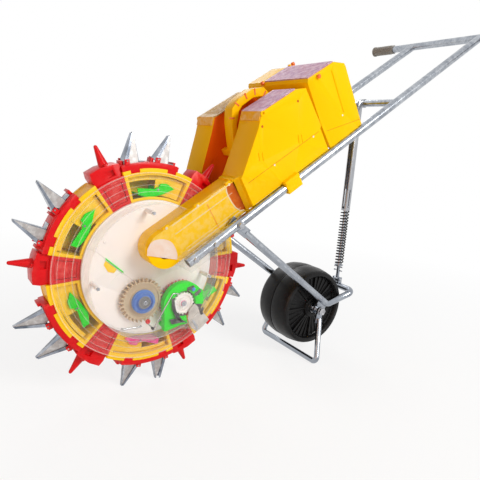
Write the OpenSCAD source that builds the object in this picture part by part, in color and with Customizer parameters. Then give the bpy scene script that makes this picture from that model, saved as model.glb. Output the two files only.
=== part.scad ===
// Walk-behind seed planter with a rolling ring of beaks.
// X points back to the handle, Y to the machine's right, Z up from the ground.
// The origin is on the ground straight below the axis of the ring.

/* [Ring] */
// Radius of the circle through the beak tips
tip_r = 250; // [240:1:265]
// Half of the angle between the two beaks of a pair
beak_spread = 8.44; // [7.5:0.05:9.5]
// Outer radius of the yellow and red segments
ring_r = 186; // [183:0.5:188]
// Width of the ring across its side faces
ring_w = 50; // [46:1:54]
// Angle taken by one yellow segment
yellow_deg = 43.6; // [42:0.2:45]
// Length of a red spike beyond its block
spike_len = 38; // [25:1:45]

/* [Beaks] */
// Thickness of the beak plate
beak_t = 1.3; // [1:0.1:2]
// Width of a beak at its root
beak_w = 22; // [18:0.5:23]
// How far the root of a beak reaches ahead of its tip
beak_lead = 26; // [23:0.5:27]
// Opening of the beak that has just left the ground
open_deg = 8; // [0:0.5:14]

/* [Frame] */
// Slope of the two long tubes
tube_deg = 34; // [30:0.5:38]
// Outer diameter of the long tubes and of the handle bar
tube_d = 19; // [17:0.5:20]
// Distance between the centre planes of the long tubes
tube_gap = 198; // [194:1:210]
// Distance along a tube from the ring axis to the handle bar
handle_at = 1021; // [960:1:1080]
// Length of the handle bar over its grips
handle_w = 474; // [440:1:520]

/* [Press wheel] */
// Largest radius of the press wheel
wheel_r = 95; // [85:0.5:98]
// Width of the press wheel
wheel_w = 100; // [84:1:104]
// Diameter of the fork tube
fork_d = 16; // [14:0.5:17]
// Diameter of the stand rod
stand_d = 13; // [10:0.5:14]

/* [Spring strut] */
// Diameter of the spring wire
wire_d = 2.6; // [2:0.1:3.2]
// Mean radius of the spring coils
coil_r = 8.6; // [8:0.1:9.6]
// Number of full coils of the spring
coils = 20; // [14:1:22]

/* [Hoppers] */
// Height of the hopper tops above the tube centres
hopper_n = 158; // [150:1:166]
// Wall of the hoppers, the box and the chutes
wall = 2.6; // [2:0.1:3.2]

/* [Hidden] */
$fn = 96;

pair_pitch = 60;
// The ring stands on the two beaks of its lowest pair.
tip_t = 2.2;
axis_z = tip_r * cos(beak_spread) + tip_t * sin(beak_spread);
// The origin lies on the ground, midway between the front spike and the rear of the grips.
grip_r = tube_d / 2 + 4.5;
spike_root_r = 204;
front_reach = (spike_root_r + spike_len) * cos(4.5);
axis_x = (front_reach - handle_at * cos(tube_deg) - grip_r) / 2;
half_w = ring_w / 2;
bore_r = 130;
carrier_r = ring_r + 11;
red_mid = 27.45;
yellow_mid = red_mid - 30;
spike_at = 25.5;
lug_at = 15.5;
hinge_r = carrier_r + 4.6;
hinge_t = beak_lead - 4.4;
gate_r = 148;
gate_at = -3.5;
gate_tilt = [0, 2, 10, 18, 30, 4];

// A bend swells by this much where the bar was drawn round.
bend_swell = 0.06;

// Pitch radii of the gear train, all of one tooth size.
tooth = 2.5;
ring_teeth = 100;
pinion_teeth = 51;
gear_teeth = 32;
ring_r_pitch = ring_teeth * tooth / 2;
drive_c = (ring_teeth - pinion_teeth) * tooth / 2;
drive_a = -107.6;
drive_x = drive_c * cos(drive_a);
drive_z = drive_c * sin(drive_a);
meter_a = -6.85;
meter_x = drive_x + gear_teeth * tooth * cos(meter_a);
meter_z = drive_z + gear_teeth * tooth * sin(meter_a);

// Outer faces of the discs and of the side covers.
disc_y = 30;
boss_y = 63;
post_r = 112;
posts = [98, 190, 352];
boss_r = 128;
tube_y = tube_gap / 2;
tube_r = tube_d / 2;
tube_end = 46;
bolt_at = 170;
chute_mid = 36;
chute_r = 35;
chute_y = 78;
box_front = 437;
box_rear = 545;
box_top = hopper_n + 4.4;
lid_t = 2.4;
inner_y = 32;

fork_r = fork_d / 2;
saddle_y = tube_y + tube_r + 3;
fork_y = tube_y - tube_r - 2;
wheel_x = 426;
wheel_z = -126;
fork_in = wheel_w / 2 + 2.2 + fork_r;
strut_x = 551;
strut_top = strut_x * tan(tube_deg);
fork_back_z = -94;
cross_at = strut_x / cos(tube_deg);
stand_foot_x = 403;
stand_foot_y = 103;
stand_y = fork_in + fork_r + 3.2;

// The strut leans forwards a little from the pin in the fork.
strut_lean = 1.8;
pin_z = fork_back_z + 16;
pin_r = 2.4;
pin_play = 0.6;
rod_r = 4.5;
spring_low = 40;
spring_top = 184;
stroke = 42;

// Places a shape that is drawn round the ring axis.
module on_axis() {
    translate([axis_x, 0, axis_z])
        children();
}

// Turns a flat shape drawn in X and Z into a plate from y0 to y1.
module plate(y0, y1) {
    translate([0, y1, 0])
        rotate([90, 0, 0])
            linear_extrude(y1 - y0)
                children();
}

// Places a shape by its height along the strut, from the pin in the fork.
module along_strut() {
    on_axis()
        translate([strut_x, 0, pin_z])
            rotate([0, -strut_lean, 0])
                children();
}

// A pin or bore along Y at the height z of the strut.
module cross_pin(z, r, h) {
    translate([0, 0, z])
        rotate([90, 0, 0])
            cylinder(h = h, r = r, center = true, $fn = 32);
}

// Places a shape by its distance along the long tubes, with n square to them.
module along_tube() {
    on_axis()
        rotate([0, -tube_deg, 0])
            children();
}

// Turns a shape about the ring axis, angles rising from the rear over the top.
module spin(a) {
    rotate([0, -a, 0])
        children();
}

// A flat ring sector in X and Z.
module sector(r0, r1, a0, a1) {
    am = (a0 + a1) / 2;
    intersection() {
        difference() {
            circle(r1, $fn = 256);
            circle(r0, $fn = 256);
        }
        polygon([
            [0, 0],
            2 * r1 * [cos(a0), sin(a0)],
            2 * r1 * [cos(am), sin(am)],
            2 * r1 * [cos(a1), sin(a1)]
        ]);
    }
}

// A round bar from a to b.
module bar(a, b, r) {
    d = b - a;
    translate(a)
        rotate([0, acos(d[2] / norm(d)), atan2(d[1], d[0])])
            cylinder(h = norm(d), r = r, $fn = 64);
}

function unit(v) = v / norm(v);
function turn_deg(a, b, c) = 180 - acos(unit(a - b) * unit(c - b));
function trim(a, b, c, rb) = rb * tan(turn_deg(a, b, c) / 2);

// The bend of a round bar at b, between a and c, with a centre line radius of rb.
module bend(a, b, c, rb, r) {
    u = unit(a - b);
    v = unit(c - b);
    turn = turn_deg(a, b, c);
    t = rb * tan(turn / 2);
    mid = b + unit(u + v) * rb / cos(turn / 2);
    e1 = unit(b + u * t - mid);
    n = unit(cross(e1, unit(b + v * t - mid)));
    e2 = cross(n, e1);
    multmatrix([
        [e1[0], e2[0], n[0], mid[0]],
        [e1[1], e2[1], n[1], mid[1]],
        [e1[2], e2[2], n[2], mid[2]],
        [0, 0, 0, 1]
    ])
        rotate_extrude(angle = turn, $fn = 96)
            translate([rb, 0])
                circle(r + bend_swell, $fn = 48);
}

// A bar bent at every inner point of the path. The straight runs reach a little into the bends.
module bent_bar(p, rb, r) {
    last = len(p) - 1;
    cut = [for (i = [0:last]) i == 0 || i == last ? 0 : trim(p[i - 1], p[i], p[i + 1], rb) - r / 8];
    union() {
        for (i = [0:last - 1]) {
            d = unit(p[i + 1] - p[i]);
            bar(p[i] + d * cut[i], p[i + 1] - d * cut[i + 1], r);
        }
        for (i = [1:last - 1])
            bend(p[i - 1], p[i], p[i + 1], rb, r);
    }
}

function gear_points(n, r_root, r_tip, duty) = [
    for (i = [0:n - 1], k = [0:3])
        let (
            a = 360 / n * (i + [-duty, -duty * 0.45, duty * 0.45, duty][k]),
            r = k == 0 || k == 3 ? r_root : r_tip
        )
            r * [cos(a), sin(a)]
];

/* Frame */

module long_tube(side) {
    color("gainsboro")
        along_tube()
            difference() {
                translate([tube_end, side * tube_y, 0])
                    rotate([0, 90, 0])
                        cylinder(h = handle_at - tube_end, r = tube_r);
                translate([tube_end - 1, side * tube_y, 0])
                    rotate([0, 90, 0])
                        cylinder(h = handle_at - tube_end + 2, r = tube_r - 1.5);
                translate([handle_at, 0, 0])
                    rotate([90, 0, 0])
                        cylinder(h = tube_gap + 60, r = tube_r, center = true);
                translate([cross_at, 0, 0])
                    rotate([90, 0, 0])
                        cylinder(h = tube_gap - 2 * tube_r + 8, r = 8, center = true);
                for (s = [tube_end + 14, tube_end + 62, bolt_at])
                    translate([s, side * tube_y, 0])
                        rotate([90, 0, 0])
                            cylinder(h = 30, r = s == bolt_at ? 4 : 2.6, center = true, $fn = 32);
            }
}

module handle_bar() {
    color("gainsboro")
        along_tube()
            translate([handle_at, 0, 0])
                rotate([90, 0, 0])
                    difference() {
                        cylinder(h = handle_w - 4, r = tube_r, center = true);
                        cylinder(h = handle_w, r = tube_r - 1.5, center = true);
                    }
}

module handle_grips() {
    color("dimgray")
        along_tube()
            for (side = [-1, 1])
                translate([handle_at, side * handle_w / 2, 0])
                    rotate([side * 90, 0, 0])
                        difference() {
                            union() {
                                cylinder(h = 72, r = tube_r + 2.6);
                                cylinder(h = 4, r = grip_r);
                                for (i = [1:8])
                                    translate([0, 0, 7.4 * i])
                                        cylinder(h = 2.4, r = tube_r + 3.4);
                            }
                            translate([0, 0, 2])
                                cylinder(h = 80, r = tube_r);
                        }
}

module cross_bar() {
    color("gainsboro")
        along_tube()
            translate([cross_at, 0, 0])
                rotate([90, 0, 0])
                    difference() {
                        cylinder(h = tube_gap - 2 * tube_r + 8, r = 8, center = true);
                        cylinder(h = tube_gap, r = 6.6, center = true);
                    }
}

/* Fixed core of the ring */

module core_disc(side) {
    mirror([0, side > 0 ? 1 : 0, 0])
        difference() {
            union() {
                plate(-disc_y, -disc_y + 2.5)
                    circle(bore_r - 0.4, $fn = 256);
                plate(-disc_y + 2, -14)
                    difference() {
                        circle(bore_r - 0.4, $fn = 256);
                        circle(bore_r - 3.4, $fn = 256);
                    }
                // Posts that meet those of the other disc.
                for (a = posts)
                    plate(-disc_y + 2, -0.05)
                        translate(post_r * [cos(a), sin(a)])
                            circle(5);
                if (side < 0)
                    plate(-disc_y + 2, -12)
                        translate([drive_x, drive_z])
                            circle(9);
            }
            // Seed mouth at the foot of the chute.
            spin(tube_deg)
                plate(-disc_y - 1, -disc_y + 4)
                    translate([30, chute_mid])
                        circle(19);
            for (a = posts)
                plate(-disc_y - 1, -18)
                    translate(post_r * [cos(a), sin(a)])
                        circle(1.55, $fn = 32);
            if (side < 0) {
                plate(-disc_y - 1, -11)
                    translate([drive_x, drive_z])
                        circle(5.1);
                plate(-disc_y - 1, -disc_y + 3)
                    translate([meter_x, meter_z])
                        circle(4);
                // Slot through which the measured seeds fall into the ring.
                plate(-disc_y - 1, -disc_y + 3)
                    sector(96, 122, -64, -52);
            }
        }
}

module core_discs() {
    color("white")
        on_axis()
            for (side = [-1, 1])
                core_disc(side);
}

module boss_outline(r, grow, lobe) {
    union() {
        circle(r, $fn = 256);
        if (lobe) {
            translate([meter_x, meter_z])
                circle(50 + grow);
            translate(143 * [cos(-53), sin(-53)])
                circle(8 + grow);
            // The flanks start a little inside both rounds.
            polygon([
                [meter_x, meter_z] + (49.7 + grow) * [cos(-6), sin(-6)],
                [meter_x, meter_z],
                [meter_x, meter_z] + (49.7 + grow) * [cos(-96), sin(-96)],
                143 * [cos(-53), sin(-53)] + (7.7 + grow) * [cos(-96), sin(-96)],
                143 * [cos(-53), sin(-53)] + (7.7 + grow) * [cos(-6), sin(-6)]
            ]);
        }
    }
}

module side_cover(side) {
    lobe = side < 0;
    mirror([0, side > 0 ? 1 : 0, 0])
        difference() {
            union() {
                // Stepped flange over the side of the ring.
                plate(-half_w - 2.6, -half_w - 0.6)
                    circle(180, $fn = 256);
                plate(-half_w - 3.6, -half_w - 2.6)
                    circle(170, $fn = 256);
                plate(-half_w - 4.4, -half_w - 3.6)
                    circle(158, $fn = 256);
                plate(-disc_y - 2.4, -half_w - 4.4)
                    circle(146, $fn = 256);
                // Raised boss.
                plate(-boss_y, -disc_y - 2.4)
                    boss_outline(boss_r, 0, lobe);
                // Saddle that holds the end of the long tube.
                spin(tube_deg)
                    translate([tube_end - 6, -saddle_y, -14])
                        cube([92, saddle_y - boss_y + 1, 27]);
            }
            plate(-half_w - 5, -half_w)
                circle(bore_r, $fn = 256);
            plate(-disc_y, -half_w)
                circle(bore_r, $fn = 256);
            difference() {
                plate(-boss_y + 2.2, -half_w - 4)
                    boss_outline(boss_r - 2.6, -2.6, lobe);
                // Screw posts that stand on the disc.
                for (a = posts)
                    plate(-boss_y + 2, -disc_y)
                        translate(post_r * [cos(a), sin(a)])
                            circle(4.4);
            }
            // Hollow of the saddle, seen from below.
            spin(tube_deg)
                translate([tube_end - 3, -tube_y + tube_r + 3, -15])
                    cube([86, tube_y - tube_r - 3 - boss_y + 3, 13]);
            // Seat of the long tube.
            spin(tube_deg)
                translate([tube_end - 0.2, -tube_y, 0])
                    rotate([0, 90, 0])
                        cylinder(h = 120, r = tube_r + 0.05);
            spin(tube_deg)
                for (s = [tube_end + 14, tube_end + 62])
                    translate([s, -saddle_y - 1, 0])
                        rotate([-90, 0, 0])
                            union() {
                                cylinder(h = 2 * tube_r + 6.6, r = 2.6, $fn = 32);
                                cylinder(h = 3, r = 5.2, $fn = 32);
                            }
            // Opening for the chute.
            spin(tube_deg)
                plate(-chute_y - 4, -disc_y)
                    chute_outline(chute_r + 0.3);
            for (a = posts)
                plate(-boss_y - 1, -half_w)
                    translate(post_r * [cos(a), sin(a)])
                        circle(1.6, $fn = 32);
        }
}

module side_covers() {
    color("lightcyan", 0.4)
        on_axis()
            for (side = [-1, 1])
                side_cover(side);
}

/* Chutes and hoppers */

module chute_outline(r) {
    union() {
        translate([30, chute_mid])
            circle(r);
        translate([30, chute_mid - r])
            square([186, 2 * r]);
    }
}

module seed_chute(side) {
    mirror([0, side > 0 ? 1 : 0, 0])
        difference() {
            union() {
                plate(-chute_y, -disc_y - 2.6)
                    chute_outline(chute_r);
                // Snap tabs along the rim.
                for (s = [50, 122, 199])
                    plate(-chute_y, -chute_y + 8)
                        translate([s - 6, chute_mid + chute_r - 1])
                            square([12, 4]);
                plate(-chute_y, -chute_y + 8)
                    translate([30, chute_mid])
                        rotate(145)
                            translate([chute_r - 1, -6])
                                square([4, 12]);
                // Collar that takes the hopper mouth.
                plate(-chute_y - 2.2, -disc_y - 2.6)
                    translate([207, chute_mid - chute_r - 2])
                        square([9, 2 * chute_r + 4]);
            }
            difference() {
                plate(-chute_y - 4, -disc_y - 2.6 - wall)
                    chute_outline(chute_r - wall);
                // Lip that keeps the lowest seeds in.
                plate(-chute_y, -chute_y + wall)
                    rotate(-tube_deg - 8)
                        translate([-60, -40])
                            square([120, 75]);
            }
            plate(-chute_y - 1, -disc_y)
                translate([30, chute_mid])
                    circle(17);
        }
}

module seed_chutes() {
    color("gold")
        along_tube()
            for (side = [-1, 1])
                seed_chute(side);
}

module chute_windows() {
    color("lightyellow", 0.4)
        along_tube()
            for (side = [-1, 1])
                mirror([0, side > 0 ? 1 : 0, 0])
                    difference() {
                        plate(-chute_y - 1.6, -chute_y)
                            intersection() {
                                chute_outline(chute_r);
                                translate([-10, -20])
                                    square([216.5, 120]);
                            }
                        plate(-chute_y - 2, -chute_y + 1)
                            rotate(-tube_deg - 8)
                                translate([-60, -40])
                                    square([120, 75]);
                    }
}

// Outline of a seed hopper, front first, drawn along and square to the tube.
function hopper_outline(front_top, front_low) = [
    [216.2, 11],
    [217, 73.4],
    [front_low, 76],
    [front_top - 22, hopper_n - 24],
    [front_top, hopper_n],
    [404, hopper_n],
    [box_front - 8, hopper_n - 9],
    [box_front - 0.8, 66],
    [box_front - 5, 60],
    [box_front - 1.5, 10]
];

module hopper(side, front_top, front_low) {
    mirror([0, side > 0 ? 1 : 0, 0])
        difference() {
            union() {
                plate(-tube_y, -inner_y)
                    polygon(hopper_outline(front_top, front_low));
                // Clip that grips the long tube.
                translate([297, -tube_y - tube_r - 2, -tube_r - 2])
                    cube([38, 2 * tube_r + 4, 2 * tube_r + 8]);
                translate([front_top, -tube_y - 1.5, hopper_n - 3])
                    rotate([-90, 0, 0])
                        cylinder(h = 3, r = 5);
            }
            // Room for the seeds.
            difference() {
                plate(-tube_y + wall, -inner_y - wall)
                    offset_outline(front_top, front_low);
                translate([295, -tube_y - 1, -20])
                    cube([42, 2 * tube_r + 3, 20 + tube_r + 3]);
            }
            translate([300, -tube_y, 0])
                rotate([0, 90, 0])
                    cylinder(h = 500, r = tube_r + 0.05, center = true);
            translate([front_top + 6, -tube_y + wall + 1.5, hopper_n - 8])
                cube([404 - front_top - 10, tube_y - inner_y - 2 * wall - 3, 20]);
            // Holes and slots in the outer side.
            for (p = [[front_top - 11, 134], [400, 136], [front_top + 1, hopper_n - 3]])
                translate([p[0], -tube_y - 3, p[1]])
                    rotate([-90, 0, 0])
                        cylinder(h = 4.4, r = 2.6, $fn = 32);
            for (p = [[371, 70], [379, 66], [270, 88], [278, 84]])
                translate([p[0], -tube_y, p[1]])
                    rotate([0, 14, 0])
                        cube([1.4, 2.4, 16], center = true);
            // Mouth into the chute.
            plate(-chute_y + wall, -disc_y - 6)
                translate([200, 14])
                    square([30, 54]);
        }
}

module offset_outline(front_top, front_low) {
    polygon([
        [216.2 + wall, 11 + wall],
        [217 + wall, 74],
        [front_low + wall, 76 + wall / 2],
        [front_top - 22 + wall, hopper_n - 24 - wall / 2],
        [front_top + wall / 2, hopper_n - wall],
        [404 - wall / 3, hopper_n - wall],
        [box_front - 8 - wall, hopper_n - 9 - wall / 2],
        [box_front - 0.8 - wall, 66],
        [box_front - 5 - wall, 60],
        [box_front - 1.5 - wall, 10 + wall]
    ]);
}

module rear_box() {
    color("gold")
        along_tube()
            difference() {
                union() {
                    plate(-tube_y, tube_y)
                        polygon([
                            [box_front + 5, 10],
                            [box_front, 66],
                            [box_front, box_top - 6],
                            [box_front + 4, box_top],
                            [517, box_top],
                            [543, 148],
                            [box_rear, 140],
                            [box_rear, 10]
                        ]);
                    // Feet on the inner half of the long tubes.
                    for (side = [-1, 1])
                        translate([450, side * (tube_y - 7) - 7, -6])
                            cube([84, 14, 20]);
                    // Lid hinge lugs.
                    for (x = [box_front + 1, 521])
                        translate([x, 40, box_top - 4])
                            cylinder(h = 8.4, r = 3.6, $fn = 48);
                    translate([466, -tube_y + 1, 155.3])
                        rotate([90, 0, 0])
                            cylinder(h = 3, r = 3, $fn = 48);
                }
                difference() {
                    plate(-tube_y + wall, tube_y - wall)
                        polygon([
                            [box_front + 5 + wall, 10 + wall],
                            [box_front + wall, 66],
                            [box_front + wall, box_top - 6],
                            [box_front + 4 + wall, box_top - wall],
                            [517 - wall / 2, box_top - wall],
                            [543 - wall, 148 - wall / 2],
                            [box_rear - wall, 140],
                            [box_rear - wall, 10 + wall]
                        ]);
                    for (side = [-1, 1])
                        translate([446, side * (tube_y - 7) - 9, -20])
                            cube([90, 18, 20 + tube_r + 3]);
                }
                for (side = [-1, 1])
                    translate([500, side * tube_y, 0])
                        rotate([0, 90, 0])
                            cylinder(h = 300, r = tube_r + 0.05, center = true);
                // Lid opening.
                translate([box_front + 7, -tube_y + wall + 3, 150])
                    cube([68, 130, 30]);
                // Vertical groove of the outer side.
                for (side = [-1, 1])
                    translate([504, side * tube_y, 104])
                        cube([2.4, 2.4, 92], center = true);
            }
}

module carry_handle() {
    color("gold")
        along_tube()
            difference() {
                union() {
                    plate(-14, 14)
                        polygon([
                            [272, 80],
                            [284, 80],
                            [292, 108],
                            [303, 134],
                            [320, 156],
                            [332, 162],
                            [364, 164],
                            [384, 157],
                            [394, 142],
                            [402, 121],
                            [412, 122],
                            [409, 146],
                            [396, 171],
                            [368, 180],
                            [328, 177],
                            [308, 168],
                            [295, 146],
                            [282, 112]
                        ]);
                    // Lugs that are screwed to the inner sides of both hoppers.
                    translate([272, -inner_y, 80])
                        cube([12, 2 * inner_y, 14]);
                    translate([402, -inner_y, 121])
                        cube([10, 2 * inner_y, 14]);
                }
                // Hollow back of the grip, with the cross ribs left standing.
                for (k = [0:5])
                    translate([304 + 16 * k, -11, 150 + (k == 0 || k == 5 ? -8 : 0)])
                        intersection() {
                            cube([13, 30, 24]);
                            translate([-304 - 16 * k, 0, -150 + (k == 0 || k == 5 ? 8 : 0)])
                                plate(-1, 31)
                                    polygon([
                                        [300, 140],
                                        [310, 163],
                                        [330, 173],
                                        [367, 176],
                                        [392, 167],
                                        [404, 148],
                                        [399, 144],
                                        [386, 162],
                                        [364, 168],
                                        [330, 166],
                                        [318, 160],
                                        [304, 140]
                                    ]);
                        }
            }
}

module lid(y0, y1, s0, s1, n, hinge_y) {
    union() {
        translate([s0, y0, n])
            cube([s1 - s0, y1 - y0, lid_t]);
        // Hinge barrel.
        translate([s0, hinge_y, n + lid_t / 2])
            rotate([0, 90, 0])
                cylinder(h = s1 - s0, r = lid_t / 2, $fn = 48);
    }
}

// Lip in front of the sloped hopper edge.
module lid_lip(y0, y1, s, n) {
    plate(y0, y1)
        polygon([
            [s - 11.2, n - 11.8],
            [s - 0.3, n + 0.1],
            [s + 4, n + 0.1],
            [s + 4, n + lid_t],
            [s - 1.3, n + lid_t],
            [s - 12.7, n - 10.5]
        ]);
}

module lid_left() {
    color("thistle", 0.6)
        along_tube()
            union() {
                lid(-tube_y + 1.5, -inner_y, 316, 403, hopper_n + 0.1, -inner_y);
                lid_lip(-tube_y + 1.5, -inner_y - 4, 313, hopper_n + 0.1);
            }
}

module lid_right() {
    color("thistle", 0.6)
        along_tube()
            union() {
                lid(inner_y, tube_y - 1.5, 292, 403, hopper_n + 0.1, inner_y);
                lid_lip(inner_y + 4, tube_y - 1.5, 289, hopper_n + 0.1);
            }
}

module lid_rear() {
    color("thistle", 0.6)
        along_tube()
            lid(-tube_y + 2, 40, box_front + 5, 516, box_top + 0.1, 40);
}

/* Seed metering */

module metering_housing() {
    color("lime")
        on_axis()
            difference() {
                union() {
                    plate(-57.6, -44)
                        translate([meter_x, meter_z])
                            circle(43);
                    plate(-57.6, -44)
                        polygon([
                            [meter_x - 41, meter_z - 10],
                            [meter_x - 38, meter_z - 52],
                            [meter_x - 28, meter_z - 50],
                            [meter_x + 2, meter_z - 41.6],
                            [meter_x + 10, meter_z - 30]
                        ]);
                    // Feet that stand on the disc.
                    plate(-44, -disc_y)
                        translate([meter_x - 33, meter_z - 46])
                            circle(4.6);
                    plate(-46, -disc_y)
                        translate([meter_x + 45.1 * cos(28), meter_z + 45.1 * sin(28)])
                            circle(2.1, $fn = 48);
                    plate(-57.6, -44)
                        translate([meter_x, meter_z])
                            rotate(28)
                                translate([38, -3])
                                    square([8, 6]);
                }
                plate(-58, -43)
                    translate([meter_x, meter_z])
                        circle(26);
                // The C is open towards the lower rear.
                plate(-58, -43)
                    polygon([
                        [meter_x, meter_z],
                        [meter_x + 60, meter_z - 8],
                        [meter_x + 60, meter_z - 60],
                        [meter_x + 16, meter_z - 60]
                    ]);
                plate(-58, -43)
                    translate([meter_x + 34 * cos(28), meter_z + 34 * sin(28)])
                        circle(2.6, $fn = 32);
            }
}

module brush_pads() {
    color("black")
        on_axis()
            union() {
                plate(-59, -57.6)
                    translate([meter_x + 25, meter_z + 12])
                        rotate(40)
                            square([15, 7]);
                plate(-57, -44.2)
                    sector_at(meter_x, meter_z, 27, 41, -24, -8.2);
                plate(-56, -45)
                    sector_at(meter_x, meter_z, 23.4, 25.95, 215, 282);
            }
}

module sector_at(x, z, r0, r1, a0, a1) {
    translate([x, z])
        sector(r0, r1, a0, a1);
}

module wire_clips() {
    color("silver")
        on_axis()
            union() {
                bent_bar([
                    [meter_x - 14, -58.9, meter_z + 22],
                    [meter_x - 26, -58.9, meter_z + 24],
                    [meter_x - 62, -58.9, meter_z - 42],
                    [meter_x - 62, -disc_y, meter_z - 42]
                ], 4, 1.2);
                bent_bar([
                    [drive_x - 34, -disc_y, drive_z - 54],
                    [drive_x - 34, -disc_y - 5, drive_z - 54],
                    [drive_x + 4, -disc_y - 5, drive_z - 54],
                    [drive_x + 4, -disc_y, drive_z - 54]
                ], 2.4, 1.2);
            }
}

module frame_screws() {
    color("silver")
        union() {
            along_tube()
                for (side = [-1, 1], s = [tube_end + 14, tube_end + 62])
                    translate([s, side * (saddle_y - 2), 0])
                        rotate([side * 90, 0, 0])
                            union() {
                                cylinder(h = 2 * tube_r + 3, r = 2.5, $fn = 32);
                                translate([0, 0, -3])
                                    cylinder(h = 3, r = 4.6, $fn = 32);
                            }
            on_axis()
                for (side = [-1, 1], a = posts)
                    translate([post_r * cos(a), side * boss_y, post_r * sin(a)])
                        rotate([side * 90, 0, 0])
                            union() {
                                cylinder(h = 44, r = 1.5, $fn = 32);
                                translate([0, 0, -1.6])
                                    cylinder(h = 1.6, r = 2.8, $fn = 32);
                            }
        }
}

module gear_disc(n, y0, y1, bore) {
    r = n * tooth / 2;
    difference() {
        plate(y0, y1)
            polygon(gear_points(n, r - 1.25 * tooth, r + tooth, 0.24));
        plate(y0 - 1, y1 + 1)
            circle(bore);
    }
}

module drive_gear() {
    color("wheat")
        on_axis()
            translate([drive_x, 0, drive_z])
                difference() {
                    gear_disc(gear_teeth, -42, -34, 5);
                    plate(-43, -40)
                        difference() {
                            circle(33);
                            circle(24);
                        }
                }
}

module drive_pinion() {
    color("wheat")
        on_axis()
            translate([drive_x, 0, drive_z])
                union() {
                    spin(drive_a * (1 - ring_teeth / pinion_teeth))
                        gear_disc(pinion_teeth, -9, -1, 4);
                    plate(-53, -1)
                        circle(5);
                }
}

module clutch_ring() {
    color("cornflowerblue")
        on_axis()
            translate([drive_x, 0, drive_z])
                difference() {
                    union() {
                        plate(-48, -42)
                            circle(22.6);
                        plate(-51.5, -48)
                            circle(13);
                    }
                    plate(-54, -41)
                        circle(5);
                    plate(-49, -45.6)
                        difference() {
                            circle(19);
                            circle(14.4);
                        }
                }
}

module metering_gear() {
    color("brown")
        on_axis()
            translate([meter_x, 0, meter_z])
                spin(2 * meter_a - 180 / gear_teeth)
                    gear_disc(gear_teeth, -42, -34, 4);
}

module seed_disc() {
    color("white")
        on_axis()
            translate([meter_x, 0, meter_z])
                difference() {
                    plate(-56, -43)
                        polygon(gear_points(20, 20.6, 22.8, 0.3));
                    plate(-57, -53.5)
                        difference() {
                            circle(17.5);
                            circle(9);
                        }
                    plate(-58, -42)
                        circle(4);
                }
}

module metering_shaft() {
    color("pink")
        on_axis()
            translate([meter_x, 0, meter_z])
                union() {
                    plate(-57, -disc_y + 2.5)
                        circle(3.95);
                    plate(-58.2, -57)
                        circle(5.6);
                }
}

/* Ring of segments */

module segment_yellow() {
    a0 = yellow_mid - yellow_deg / 2;
    a1 = yellow_mid + yellow_deg / 2;
    difference() {
        union() {
            plate(-half_w, half_w)
                sector(bore_r, ring_r - 5.6, a0, a1);
            plate(-18, 18)
                sector(ring_r - 5.7, ring_r, a0, a1);
            // Raised blocks at both edges that key into the carrier.
            for (e = [[-24.3, -13.2], [-7.5, 9.3], [14.8, 19.2]], y = [-half_w, 18])
                plate(y, y + half_w - 18)
                    sector(ring_r - 5.7, ring_r + 0.6, e[0], e[1]);
        }
        // Pocket in which the seed gate swings.
        plate(-half_w - 1, half_w - 6)
            sector(bore_r + 5, ring_r - 12, a0 + 2, a1 - 2);
        // Seed inlet through the inner wall.
        plate(-half_w + 2, half_w - 8)
            sector(bore_r - 2, bore_r + 6, -9, 17.4);
        // Outlets into the two beaks.
        for (s = [-1, 1])
            spin(s * beak_spread)
                translate([ring_r - 20, -9, -2])
                    cube([24, 18, 18]);
    }
}

module segments_yellow() {
    color("gold")
        on_axis()
            for (k = [0:5])
                spin(90 + pair_pitch * k)
                    segment_yellow();
}

module segment_red() {
    w = pair_pitch - yellow_deg - 0.24;
    a0 = red_mid - w / 2;
    a1 = red_mid + w / 2;
    difference() {
        union() {
            plate(-half_w, half_w)
                sector(bore_r, ring_r - 5, a0, a1);
            // Outer block that carries the spike.
            plate(-19, 19)
                polygon([
                    [(ring_r - 8) * cos(a0), (ring_r - 8) * sin(a0)],
                    [202 * cos(a0), 202 * sin(a0)],
                    [204 * cos(spike_at - 3), 204 * sin(spike_at - 3)],
                    [206.5 * cos(spike_at + 3.4), 206.5 * sin(spike_at + 3.4)],
                    [206 * cos(a1 - 1), 206 * sin(a1 - 1)],
                    [195 * cos(a1), 195 * sin(a1)],
                    [(ring_r - 8) * cos(a1), (ring_r - 8) * sin(a1)],
                    [(ring_r - 12) * cos(red_mid), (ring_r - 12) * sin(red_mid)]
                ]);
            spin(spike_at)
                translate([spike_root_r - 6, 0, 0])
                    rotate([0, 90, 0])
                        rotate_extrude($fn = 64)
                            polygon(concat(
                                [[0, 0], [10, 0]],
                                [for (a = [0:15:90]) [3.4 * cos(a), spike_len + 2.6 + 3.4 * sin(a)]]
                            ));
            // Gusset on the near side of the spike.
            spin(spike_at)
                translate([spike_root_r - 5, -16, -2.5])
                    cube([9, 32, 5]);
        }
        plate(-half_w - 1, half_w - 6)
            sector(bore_r + 6, ring_r - 14, a0 + 2.2, a1 - 2.2);
        // Weight-saving slots in the outer block.
        for (y = [-20, 13])
            spin(red_mid + 1)
                translate([ring_r - 2, y, -18])
                    cube([11, 7, 14]);
    }
}

module segments_red() {
    color("red")
        on_axis()
            for (k = [0:5])
                spin(90 + pair_pitch * k)
                    segment_red();
}

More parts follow.
